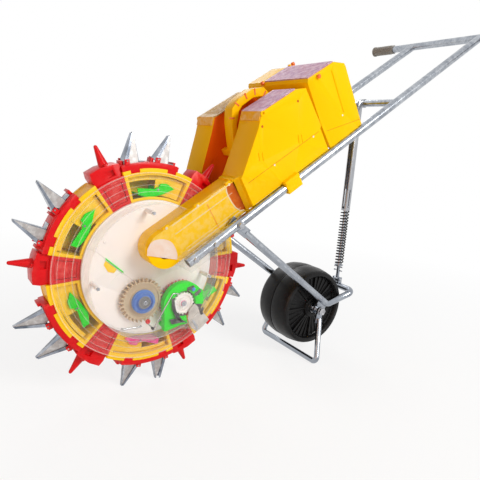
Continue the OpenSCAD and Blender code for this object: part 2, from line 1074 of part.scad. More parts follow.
module beak_carrier() {
    difference() {
        union() {
            plate(-18, 18)
                sector(ring_r + 0.7, carrier_r, -14, 19);
            // Tabs that key between the blocks of the yellow segment.
            for (e = [[-13.1, -7.6], [9.4, 14.7]], y = [-half_w + 1, 18.1])
                plate(y, y + half_w - 19.1)
                    sector(ring_r - 5.4, carrier_r - 1, e[0], e[1]);
            for (y = [-half_w + 1, 17.5])
                plate(y, y + half_w - 18.5)
                    sector(ring_r + 0.7, carrier_r - 1, -14, 19);
            // Raised lug at the trailing end.
            plate(-6, 18)
                sector(carrier_r - 1, carrier_r + 6, -14, -12.6);
            for (s = [-1, 1])
                spin(s * beak_spread)
                    union() {
                        // Stop ahead of the flap.
                        translate([carrier_r - 4.5, -9, hinge_t + 6])
                            cube([9.5, 18, 5]);
                        // Cheeks that hold the flap pin.
                        for (y = [-17.6, 13.4])
                            translate([carrier_r - 4, y, hinge_t - 4])
                                cube([11.4, 4.2, 8.6]);
                    }
        }
        for (s = [-1, 1])
            spin(s * beak_spread)
                union() {
                    translate([ring_r - 8, -beak_w / 2 - 0.3, -4])
                        cube([30, beak_w + 0.6, hinge_t - 1]);
                    translate([hinge_r, 0, hinge_t])
                        rotate([90, 0, 0])
                            cylinder(h = 60, r = 1.55, center = true, $fn = 32);
                }
    }
}

module beak_carriers() {
    color("red")
        on_axis()
            for (k = [0:5])
                spin(90 + pair_pitch * k)
                    beak_carrier();
}

// A wedge between a side outline, drawn out and along the rim, and an end outline.
module wedge(side_pts, end_pts) {
    intersection() {
        plate(-40, 40)
            polygon(side_pts);
        translate([0, 0, -60])
            linear_extrude(120)
                polygon(end_pts);
    }
}

module beak_fixed() {
    w = beak_w / 2;
    r0 = ring_r + 4;
    union() {
        difference() {
            wedge(
                [[r0, -3], [r0, 11], [tip_r, tip_t], [tip_r, 0]],
                [[r0, -w], [tip_r, -3.4], [tip_r, 3.4], [r0, w]]
            );
            wedge(
                [[r0 - 1, -3 + beak_t], [r0 - 1, 30], [tip_r + 1, 30], [tip_r + 1, beak_t]],
                [[r0 - 1, -w + beak_t], [tip_r + 1, -3.4 + beak_t], [tip_r + 1, 3.4 - beak_t], [r0 - 1, w - beak_t]]
            );
        }
        // Foot riveted to the outside of the carrier.
        translate([carrier_r + 0.1, -w, -13])
            cube([beak_t, beak_w, 11.6]);
    }
}

module beaks_fixed() {
    color("silver")
        on_axis()
            for (k = [0:5], s = [-1, 1])
                spin(90 + pair_pitch * k + s * beak_spread)
                    beak_fixed();
}

module beak_flap() {
    w = beak_w / 2 + 1.9;
    r0 = carrier_r + 2;
    r1 = tip_r - 1.2;
    t1 = tip_t + 2.2;
    // The web leans, so its thickness along the rim is larger.
    lean = atan((beak_lead - t1) / (r1 - r0));
    tw = beak_t / cos(lean);
    union() {
        difference() {
            wedge(
                [[r0, beak_lead], [r0, beak_lead - 7], [r1, t1 - 3.4], [r1, t1]],
                [[r0, -w], [r1, -5], [r1, 5], [r0, w]]
            );
            wedge(
                [
                    [r0 - 1, beak_lead - tw + tan(lean)],
                    [r0 - 1, -30],
                    [r1 + 1, -30],
                    [r1 + 1, t1 - tw - tan(lean)]
                ],
                [[r0 - 1, -w + beak_t], [r1 + 1, -5 + beak_t], [r1 + 1, 5 - beak_t], [r0 - 1, w - beak_t]]
            );
        }
        // Barrel of the hinge.
        translate([hinge_r, 0, hinge_t])
            rotate([90, 0, 0])
                cylinder(h = 2 * w - 0.8, r = 2.9, center = true, $fn = 48);
    }
}

// Flaps are numbered from the rear over the top; the tenth has just left the ground.
module flap(i) {
    pair = floor((i - 1) / 2);
    s = i % 2 == 1 ? -1 : 1;
    open = i == 10 ? open_deg : 0;
    color("lightsteelblue")
        on_axis()
            spin(30 + pair_pitch * pair + s * beak_spread)
                translate([hinge_r, 0, hinge_t])
                    rotate([0, -open, 0])
                        difference() {
                            translate([-hinge_r, 0, -hinge_t])
                                beak_flap();
                            rotate([90, 0, 0])
                                cylinder(h = 60, r = 1.55, center = true, $fn = 32);
                        }
}

module ring_pins() {
    color("black")
        on_axis()
            for (k = [0:5])
                spin(90 + pair_pitch * k)
                    union() {
                        for (s = [-1, 1])
                            spin(s * beak_spread)
                                translate([hinge_r, 0, hinge_t])
                                    rotate([90, 0, 0])
                                        cylinder(h = 35.2, r = 1.5, center = true, $fn = 32);
                        spin(gate_at)
                            translate([gate_r, -half_w + 3, 0])
                                rotate([-90, 0, 0])
                                    cylinder(h = ring_w - 9, r = 1.9, $fn = 32);
                    }
}

module ring_gear() {
    color("ivory")
        on_axis()
            difference() {
                plate(-9, -1)
                    circle(bore_r - 0.05, $fn = 256);
                plate(-10, 0)
                    polygon(gear_points(ring_teeth, ring_r_pitch - tooth, ring_r_pitch + 1.2 * tooth, 0.3));
            }
}

// Seed gates are numbered like the pairs, from the one at the top.
module gate(k) {
    color(k == 3 ? "hotpink" : "lime")
        on_axis()
            spin(90 + pair_pitch * k + gate_at)
                translate([gate_r, 0, 0])
                    rotate([0, gate_tilt[k], 0])
                        gate_plate();
}

module gate_plate() {
    difference() {
        union() {
            plate(-half_w + 4, -half_w + 7)
                polygon([
                    [-1, 40],
                    [-13, 37],
                    [-16.4, 14],
                    [-8, -10],
                    [3, -33],
                    [12, -17],
                    [11, -4],
                    [1, -1]
                ]);
            // Flap that closes the inlet.
            plate(-half_w + 6, half_w - 10)
                polygon([
                    [-13, 37],
                    [-16.4, 14],
                    [-14, 13.4],
                    [-10.6, 36]
                ]);
            plate(-half_w + 4, half_w - 10)
                circle(4.2, $fn = 48);
        }
        plate(-half_w, half_w)
            circle(2, $fn = 32);
    }
}

/* Press wheel, fork and stand */

fork_path = [
    [bolt_at * cos(tube_deg), -fork_y + 3, bolt_at * sin(tube_deg)],
    [459, -fork_in, -117],
    [strut_x, -fork_in + 1, fork_back_z],
    [strut_x, fork_in - 1, fork_back_z],
    [459, fork_in, -117],
    [bolt_at * cos(tube_deg), fork_y - 3, bolt_at * sin(tube_deg)]
];
arm_dir = unit(fork_path[1] - fork_path[0]);

module fork() {
    arm_a = atan2(arm_dir[2], arm_dir[0]);
    color("gainsboro")
        on_axis()
            difference() {
                union() {
                    bent_bar([for (i = [0:5]) i == 0 || i == 5
                        ? fork_path[i] + [arm_dir[0], i == 0 ? arm_dir[1] : -arm_dir[1], arm_dir[2]] * 34
                        : fork_path[i]], 20, fork_r);
                    // Flattened ends on the pivot bolts.
                    for (side = [-1, 1])
                        translate([fork_path[0][0], side * fork_y, fork_path[0][2]])
                            rotate([0, -arm_a, 0])
                                translate([-11, -1.6, -10])
                                    cube([52, 3.2, 20]);
                    // Plates that carry the axle.
                    for (side = [-1, 1])
                        translate([wheel_x, side * (fork_in - 1), wheel_z])
                            rotate([0, -arm_a, 0])
                                translate([-10, -2, -10])
                                    cube([32, 4, 32]);
                    // Ears for the pin of the strut.
                    for (y = [-11.2, 7.2])
                        translate([strut_x - 6, y, fork_back_z - 2])
                            cube([12, 4, 24]);
                }
                for (side = [-1, 1])
                    translate([fork_path[0][0], side * fork_y, fork_path[0][2]])
                        rotate([90, 0, 0])
                            cylinder(h = 14, r = 4.05, center = true, $fn = 48);
                translate([wheel_x, 0, wheel_z])
                    rotate([90, 0, 0])
                        cylinder(h = 200, r = 6.02, center = true, $fn = 64);
                translate([strut_x, 0, 0])
                    cross_pin(pin_z, pin_r + 0.05, 40);
            }
}

module hex_head(r, h) {
    cylinder(h = h, r = r, $fn = 6);
}

module fork_bolts() {
    color("dimgray")
        on_axis()
            for (side = [-1, 1])
                translate([fork_path[0][0], side * (tube_y + tube_r + 1.2), fork_path[0][2]])
                    rotate([side * 90, 0, 0])
                        union() {
                            cylinder(h = 2 * tube_r + 10.4, r = 3.95, $fn = 48);
                            cylinder(h = 1.2, r = 8, $fn = 48);
                            translate([0, 0, -5])
                                hex_head(6.5, 5);
                            translate([0, 0, 2 * tube_r + 5])
                                hex_head(6.5, 5);
                        }
}

module press_wheel() {
    w = wheel_w / 2;
    r = wheel_r;
    color("black")
        on_axis()
            translate([wheel_x, 0, wheel_z])
                rotate([90, 0, 0])
                    difference() {
                        union() {
                            rotate_extrude($fn = 128)
                                polygon([
                                    [12, -w + 4],
                                    [12, w - 4],
                                    [24, w - 4],
                                    [28, w - 22],
                                    [r - 24, w - 30],
                                    [r - 17, w - 2],
                                    [r - 15, w],
                                    [r - 7, w],
                                    [r - 4, w - 6],
                                    [r - 1.4, w * 0.6],
                                    [r, w * 0.36],
                                    [r - 0.4, 2],
                                    [r - 2.4, 1.2],
                                    [r - 2.4, -1.2],
                                    [r - 0.4, -2],
                                    [r, -w * 0.36],
                                    [r - 1.4, -w * 0.6],
                                    [r - 4, -w + 6],
                                    [r - 7, -w],
                                    [r - 15, -w],
                                    [r - 17, -w + 2],
                                    [r - 24, -w + 30],
                                    [28, -w + 22],
                                    [24, -w + 4]
                                ]);
                            // Ribs of the hollow faces.
                            for (a = [0:45:315], z = [-w + 6, w - 24])
                                rotate(a)
                                    translate([20, -1.5, z])
                                        cube([r - 39, 3, 18]);
                        }
                        cylinder(h = 2 * w + 2, r = 12.6, center = true);
                        // Drain slots between the ribs.
                        for (a = [22.5:90:292.5])
                            rotate(a)
                                translate([r - 40, -5, -w])
                                    cube([7, 10, 2 * w]);
                    }
}

module axle() {
    color("silver")
        on_axis()
            translate([wheel_x, 0, wheel_z])
                rotate([90, 0, 0])
                    union() {
                        cylinder(h = 2 * stand_y + 16, r = 6, center = true, $fn = 64);
                        // Sleeve on which the wheel turns.
                        cylinder(h = wheel_w + 2, r = 12.3, center = true, $fn = 96);
                    }
}

module fork_fasteners() {
    color("silver")
        on_axis()
            union() {
                for (side = [-1, 1])
                    translate([wheel_x, side * (stand_y + 2.3), wheel_z])
                        rotate([-side * 90, 0, 0])
                            difference() {
                                union() {
                                    cylinder(h = 1.4, r = 10.5, $fn = 48);
                                    translate([0, 0, 1.4])
                                        hex_head(9.6, 5);
                                }
                                translate([0, 0, -1])
                                    cylinder(h = 9, r = 6, $fn = 64);
                            }
                // Pin that holds the strut between the ears of the fork.
                translate([strut_x, 0, pin_z])
                    union() {
                        cross_pin(0, pin_r, 28);
                        translate([0, -12, 0])
                            cross_pin(0, 4, 1.4);
                    }
            }
}

module stand() {
    foot_z = -axis_z + stand_d / 2;
    leg = [for (side = [-1, 1]) [
        [wheel_x - 3.2, side * (stand_y + 4), wheel_z - 18],
        [stand_foot_x, side * stand_foot_y, foot_z]
    ]];
    color("gainsboro")
        on_axis()
            difference() {
                union() {
                    bent_bar([leg[0][0], leg[0][1], leg[1][1], leg[1][0]], 10, stand_d / 2);
                    for (side = [-1, 1])
                        translate([wheel_x, side * stand_y, wheel_z])
                            rotate([90, 0, 0])
                                rotate(-100)
                                    union() {
                                        cylinder(h = 4.4, r = 10, center = true, $fn = 64);
                                        translate([0, -9, -2.2])
                                            cube([30, 18, 4.4]);
                                    }
                }
                translate([wheel_x, 0, wheel_z])
                    rotate([90, 0, 0])
                        cylinder(h = 300, r = 6.08, center = true, $fn = 64);
            }
}

/* Spring strut */

module strut_channel() {
    reach = strut_top - pin_z;
    color("gainsboro")
        difference() {
            union() {
                along_strut()
                    translate([-6.5, -8.5, spring_top])
                        cube([13.5, 17, reach + 5 - spring_top]);
                // Washer above the spring.
                along_strut()
                    translate([0, 0, spring_top])
                        cylinder(h = 2, r = 11, $fn = 64);
                on_axis()
                    translate([strut_x, 0, strut_top])
                        rotate([90, 0, 0])
                            cylinder(h = 18.4, r = 10.4, center = true, $fn = 64);
            }
            // The channel is open towards the front.
            along_strut()
                translate([-10, -6.5, spring_top + 4])
                    cube([15, 13, reach]);
            along_strut()
                translate([0, 0, spring_top - 1])
                    cylinder(h = 10, r = rod_r + 0.1, $fn = 64);
            // Slots in which the upper cotter pin travels.
            along_strut()
                translate([-1.8, -20, spring_top + 8])
                    cube([3.6, 40, stroke + 4]);
            on_axis()
                translate([strut_x, 0, strut_top])
                    rotate([90, 0, 0])
                        cylinder(h = 60, r = 8.08, center = true, $fn = 64);
        }
}

module strut_rod() {
    color("silver")
        along_strut()
            difference() {
                union() {
                    translate([0, 0, 5])
                        cylinder(h = spring_top + 46, r = rod_r, $fn = 64);
                    // Flat eye between the ears of the fork.
                    translate([0, 0, 0])
                        rotate([90, 0, 0])
                            cylinder(h = 13.6, r = 7, center = true, $fn = 64);
                    // Washer under the spring.
                    translate([0, 0, spring_low - 2.4])
                        cylinder(h = 2.4, r = 11, $fn = 64);
                }
                cross_pin(0, pin_r + pin_play, 40);
                for (z = cotter_z)
                    cross_pin(z, 1.6, 40);
            }
}

cotter_z = [spring_low - 6, 24, spring_top + 10];

// Rings of points round the wire, with straight ends square to both seats.
coil_steps = 8;
ring_sides = 6;
lead = wire_d;
coil_low = spring_low + lead + 0.6;
coil_high = spring_top - lead - 0.6;
coil_pitch = (coil_high - coil_low) / coils;

function coil_point(i) =
    let (a = 360 * i / coil_steps)
        [coil_r * cos(a), coil_r * sin(a), coil_low + coil_pitch * i / coil_steps];

spring_mid = concat(
    [[coil_r, 0, spring_low], [coil_r, 0, spring_low + lead * 0.9]],
    [for (i = [1:coils * coil_steps - 1]) coil_point(i)],
    [[coil_r, 0, spring_top - lead * 0.9], [coil_r, 0, spring_top]]
);

function tangent(p, i) =
    i == 0 ? unit(p[1] - p[0])
    : i == len(p) - 1 ? unit(p[i] - p[i - 1])
    : unit(p[i + 1] - p[i - 1]);

function wire_ring(p, i, r) =
    let (
        t = i <= 1 || i >= len(p) - 2 ? [0, 0, 1] : tangent(p, i),
        out = unit([p[i][0], p[i][1], 0]),
        e1 = unit(out - t * (out * t)),
        e2 = cross(t, e1)
    )
        [for (k = [0:ring_sides - 1])
            p[i] + r * (cos(360 * k / ring_sides) * e1 + sin(360 * k / ring_sides) * e2)];

module strut_spring() {
    last = len(spring_mid) - 1;
    pts = [for (i = [0:last]) each wire_ring(spring_mid, i, wire_d / 2)];
    sides = [for (i = [0:last - 1], k = [0:ring_sides - 1], half = [0, 1])
        let (k2 = (k + 1) % ring_sides, a = i * ring_sides, b = a + ring_sides)
            half == 0 ? [a + k, b + k, b + k2] : [a + k, b + k2, a + k2]];
    echo(least_gap_between_coils = coil_pitch - wire_d);
    color("black")
        along_strut()
            polyhedron(pts, concat(
                sides,
                [[for (k = [0:ring_sides - 1]) k]],
                [[for (k = [0:ring_sides - 1]) last * ring_sides + ring_sides - 1 - k]]
            ));
}

module cotter_pins() {
    color("silver")
        along_strut()
            for (z = cotter_z)
                union() {
                    cross_pin(z, 1.6, z > spring_low ? 22 : 26);
                    translate([0, z > spring_low ? 11 : 13, z])
                        rotate([90, 0, 0])
                            cylinder(h = 1.6, r = 2.8, $fn = 24);
                }
}

long_tube(-1);  // tube_left
long_tube(1);  // tube_right
handle_bar();
handle_grips();
cross_bar();
core_discs();
side_covers();
seed_chutes();
chute_windows();
color("gold") along_tube() hopper(-1, 313, 222);  // hopper_left
color("gold") along_tube() hopper(1, 289, 208);  // hopper_right
rear_box();
carry_handle();
lid_left();
lid_right();
lid_rear();
metering_housing();
brush_pads();
wire_clips();
frame_screws();
drive_gear();
drive_pinion();
clutch_ring();
metering_gear();
seed_disc();
metering_shaft();
segments_yellow();
segments_red();
beak_carriers();
beaks_fixed();
ring_pins();
ring_gear();
gate(0);  // gate_1
gate(1);  // gate_2
gate(2);  // gate_3
gate(3);  // gate_4
gate(4);  // gate_5
gate(5);  // gate_6
flap(1);  // beak_flap_1
flap(2);  // beak_flap_2
flap(3);  // beak_flap_3
flap(4);  // beak_flap_4
flap(5);  // beak_flap_5
flap(6);  // beak_flap_6
flap(7);  // beak_flap_7
flap(8);  // beak_flap_8
flap(9);  // beak_flap_9
flap(10);  // beak_flap_10
flap(11);  // beak_flap_11
flap(12);  // beak_flap_12
fork();
fork_bolts();
press_wheel();
axle();
fork_fasteners();
stand();
strut_channel();
strut_rod();
strut_spring();
cotter_pins();
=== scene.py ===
"""Looks of a walk-behind seed planter with a turning ring of beaks."""

import math

import bmesh
import bpy
from mathutils import Matrix, Vector


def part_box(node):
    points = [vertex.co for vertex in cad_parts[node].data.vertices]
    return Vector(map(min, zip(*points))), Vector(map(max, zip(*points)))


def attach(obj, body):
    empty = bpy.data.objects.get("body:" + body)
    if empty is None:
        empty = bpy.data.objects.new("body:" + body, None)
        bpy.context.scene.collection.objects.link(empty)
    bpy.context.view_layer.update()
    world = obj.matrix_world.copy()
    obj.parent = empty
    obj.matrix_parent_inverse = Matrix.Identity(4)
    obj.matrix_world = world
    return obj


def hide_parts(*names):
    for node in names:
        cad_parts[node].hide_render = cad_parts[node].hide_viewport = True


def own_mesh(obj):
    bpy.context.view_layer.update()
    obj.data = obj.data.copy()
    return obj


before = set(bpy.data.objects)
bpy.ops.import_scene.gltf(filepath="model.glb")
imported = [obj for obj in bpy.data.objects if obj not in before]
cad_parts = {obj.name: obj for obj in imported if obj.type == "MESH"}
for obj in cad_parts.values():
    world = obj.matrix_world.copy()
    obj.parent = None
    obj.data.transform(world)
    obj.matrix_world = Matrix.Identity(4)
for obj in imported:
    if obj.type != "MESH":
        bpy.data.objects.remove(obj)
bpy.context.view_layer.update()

# The ring axis, and the slope of the two long tubes.
AXIS = Vector((-0.309597, 0.0, 0.247615))
SLOPE = math.radians(34.0)
ALONG = Vector((math.cos(SLOPE), 0.0, math.sin(SLOPE)))
ABOVE = Vector((-math.sin(SLOPE), 0.0, math.cos(SLOPE)))
SIDE = Vector((0.0, 1.0, 0.0))


def level(x, y, z):
    """A point in millimetres from the ring axis."""
    return AXIS + Vector((x, y, z)) / 1000.0


def tube_point(s, y, n):
    """A point s mm up the long tubes, n mm square to them."""
    return AXIS + (ALONG * s + SIDE * y + ABOVE * n) / 1000.0


def ring_point(r, a, y):
    """A point at r mm and a degrees round the ring, angles rising from the rear over the top."""
    return level(r * math.cos(math.radians(a)), y, r * math.sin(math.radians(a)))


# Shader groups

def new_group(name, inputs, outputs):
    """An empty shader group, with its input and output nodes."""
    tree = bpy.data.node_groups.new(name, "ShaderNodeTree")
    for label, kind, value in inputs:
        socket = tree.interface.new_socket(name=label, in_out="INPUT", socket_type=kind)
        socket.default_value = value
    for label, kind in outputs:
        tree.interface.new_socket(name=label, in_out="OUTPUT", socket_type=kind)
    return tree, tree.nodes.new("NodeGroupInput"), tree.nodes.new("NodeGroupOutput")


def feed(tree, value, socket):
    """Links another node's output to a socket, or sets a plain value on it."""
    if isinstance(value, bpy.types.NodeSocket):
        tree.links.new(value, socket)
    else:
        socket.default_value = value


def math_node(tree, operation, a, b, clamp=False):
    node = tree.nodes.new("ShaderNodeMath")
    node.operation = operation
    node.use_clamp = clamp
    feed(tree, a, node.inputs[0])
    feed(tree, b, node.inputs[1])
    return node.outputs[0]


def ramp(tree, value, start, gain):
    """Zero up to the start, then rising by the gain, to one at most."""
    return math_node(tree, "MULTIPLY", math_node(tree, "SUBTRACT", value, start), gain, True)


def swing(tree, noise, share):
    """A noise turned about zero, by its share."""
    return math_node(tree, "MULTIPLY", math_node(tree, "SUBTRACT", noise, 0.5), share)


def mix_color(tree, factor, a, b):
    node = tree.nodes.new("ShaderNodeMix")
    node.data_type = "RGBA"
    color_a, color_b = node.inputs[6], node.inputs[7]
    tree.links.new(factor, node.inputs[0])
    feed(tree, a, color_a)
    feed(tree, b, color_b)
    return node.outputs[2]


def noise_node(tree, scale, detail):
    """Noise on the piece's own coordinates."""
    node = tree.nodes.new("ShaderNodeTexNoise")
    where = tree.nodes.new("ShaderNodeTexCoord")
    node.inputs["Detail"].default_value = detail
    node.inputs["Roughness"].default_value = 0.55
    tree.links.new(scale, node.inputs["Scale"])
    tree.links.new(where.outputs["Object"], node.inputs["Vector"])
    return node.outputs[0]


def make_edge_wear():
    """Mask of rubbed edges, broken up by noise."""
    tree, gin, gout = new_group(
        "edge_wear",
        [("Amount", "NodeSocketFloat", 0.5), ("Break Up Scale", "NodeSocketFloat", 90.0)],
        [("Mask", "NodeSocketFloat")],
    )
    geo = tree.nodes.new("ShaderNodeNewGeometry")
    sharp = ramp(tree, geo.outputs["Pointiness"], 0.53, 14.0)
    broken = ramp(tree, noise_node(tree, gin.outputs["Break Up Scale"], 4.0), 0.42, 5.0)
    both = math_node(tree, "MULTIPLY", sharp, broken)
    tree.links.new(math_node(tree, "MULTIPLY", both, gin.outputs["Amount"], True), gout.inputs["Mask"])
    return tree


def make_mottle():
    """Slow change of tone over a surface, and a fine speckle on top of it."""
    tree, gin, gout = new_group(
        "mottle",
        [
            ("Color", "NodeSocketColor", (0.8, 0.8, 0.8, 1)),
            ("Second Color", "NodeSocketColor", (0.7, 0.7, 0.7, 1)),
            ("Scale", "NodeSocketFloat", 12.0),
            ("Contrast", "NodeSocketFloat", 2.0),
            ("Fine Scale", "NodeSocketFloat", 400.0),
            ("Fine Share", "NodeSocketFloat", 0.3),
        ],
        [("Color", "NodeSocketColor")],
    )
    slow = swing(tree, noise_node(tree, gin.outputs["Scale"], 3.0), gin.outputs["Contrast"])
    fine = swing(tree, noise_node(tree, gin.outputs["Fine Scale"], 2.0), gin.outputs["Fine Share"])
    share = math_node(tree, "ADD", math_node(tree, "ADD", slow, fine), 0.5, True)
    tone = mix_color(tree, share, gin.outputs["Color"], gin.outputs["Second Color"])
    tree.links.new(tone, gout.inputs["Color"])
    return tree


def make_moulded():
    """Height and roughness of a moulded or drawn surface: orange peel and fine grain."""
    tree, gin, gout = new_group(
        "moulded",
        [
            ("Peel Scale", "NodeSocketFloat", 60.0),
            ("Grain Scale", "NodeSocketFloat", 900.0),
            ("Grain Share", "NodeSocketFloat", 0.4),
            ("Roughness", "NodeSocketFloat", 0.4),
            ("Roughness Spread", "NodeSocketFloat", 0.1),
        ],
        [("Height", "NodeSocketFloat"), ("Roughness", "NodeSocketFloat")],
    )
    peel = noise_node(tree, gin.outputs["Peel Scale"], 2.0)
    grain = noise_node(tree, gin.outputs["Grain Scale"], 3.0)
    grown = math_node(tree, "MULTIPLY", grain, gin.outputs["Grain Share"])
    change = swing(tree, grain, gin.outputs["Roughness Spread"])
    tree.links.new(math_node(tree, "ADD", peel, grown), gout.inputs["Height"])
    tree.links.new(math_node(tree, "ADD", gin.outputs["Roughness"], change, True), gout.inputs["Roughness"])
    return tree


def make_film():
    """Dust that settles on faces that look up, in patches."""
    tree, gin, gout = new_group(
        "film",
        [("Amount", "NodeSocketFloat", 0.2), ("Patch Scale", "NodeSocketFloat", 18.0)],
        [("Mask", "NodeSocketFloat")],
    )
    geo = tree.nodes.new("ShaderNodeNewGeometry")
    split = tree.nodes.new("ShaderNodeSeparateXYZ")
    tree.links.new(geo.outputs["Normal"], split.inputs[0])
    up = math_node(tree, "ADD", math_node(tree, "MULTIPLY", split.outputs[2], 0.5), 0.5, True)
    patches = ramp(tree, noise_node(tree, gin.outputs["Patch Scale"], 5.0), 0.45, 4.0)
    both = math_node(tree, "MULTIPLY", up, patches)
    tree.links.new(math_node(tree, "MULTIPLY", both, gin.outputs["Amount"], True), gout.inputs["Mask"])
    return tree


GROUPS = {
    "edge_wear": make_edge_wear(), "mottle": make_mottle(), "moulded": make_moulded(), "film": make_film(),
}


def place(tree, group, **values):
    """One of the groups, placed in a tree with its own values."""
    node = tree.nodes.new("ShaderNodeGroup")
    node.node_tree = GROUPS[group]
    for label, value in values.items():
        node.inputs[label.replace("_", " ")].default_value = value
    return node


def opaque(color):
    """A colour as the sockets take it."""
    return (*color, 1.0)


def finish_material(
    name,
    color,
    second,
    roughness=0.36,
    spread=0.1,
    metallic=0.0,
    bump=0.12,
    distance=0.0004,
    peel=40,
    grain=900,
    grain_share=0.4,
    mottle_scale=40,
    contrast=1.6,
    wear=0.3,
    wear_color=(1, 1, 1),
    dust=0.0,
    dust_color=(0.55, 0.5, 0.42),
    specular=0.5,
    alpha=None,
    subsurface=0.0,
):
    """A material made of the four groups, with this object's own values."""
    mat = bpy.data.materials.new(name)
    mat.use_nodes = True
    tree = mat.node_tree
    bsdf = tree.nodes["Principled BSDF"]
    tone = place(
        tree, "mottle", Color=opaque(color), Second_Color=opaque(second), Scale=mottle_scale,
        Contrast=contrast, Fine_Scale=grain, Fine_Share=0.35,
    )
    worn = place(tree, "edge_wear", Amount=wear, Break_Up_Scale=90.0)
    dusty = place(tree, "film", Amount=dust, Patch_Scale=18.0)
    mould = place(
        tree, "moulded", Peel_Scale=peel, Grain_Scale=grain, Grain_Share=grain_share, Roughness=roughness,
        Roughness_Spread=spread,
    )
    rubbed = mix_color(tree, worn.outputs["Mask"], tone.outputs["Color"], opaque(wear_color))
    coloured = mix_color(tree, dusty.outputs["Mask"], rubbed, opaque(dust_color))
    tree.links.new(coloured, bsdf.inputs["Base Color"])
    tree.links.new(mould.outputs["Roughness"], bsdf.inputs["Roughness"])
    bump_node = tree.nodes.new("ShaderNodeBump")
    bump_node.inputs["Strength"].default_value = bump
    bump_node.inputs["Distance"].default_value = distance
    tree.links.new(mould.outputs["Height"], bump_node.inputs["Height"])
    tree.links.new(bump_node.outputs["Normal"], bsdf.inputs["Normal"])
    bsdf.inputs["Metallic"].default_value = metallic
    bsdf.inputs["Subsurface Weight"].default_value = subsurface
    bsdf.inputs["Subsurface Radius"].default_value = (0.004, 0.003, 0.002)
    bsdf.inputs["IOR"].default_value = 1.5
    bsdf.inputs["Specular IOR Level"].default_value = specular
    if alpha is not None:
        # Clear plastic shows most at its rims and where it is seen edge on.
        facing = tree.nodes.new("ShaderNodeLayerWeight")
        facing.inputs["Blend"].default_value = 0.25
        lift = math_node(tree, "MULTIPLY", facing.outputs["Facing"], 0.35)
        tree.links.new(math_node(tree, "ADD", lift, alpha, True), bsdf.inputs["Alpha"])
    return mat


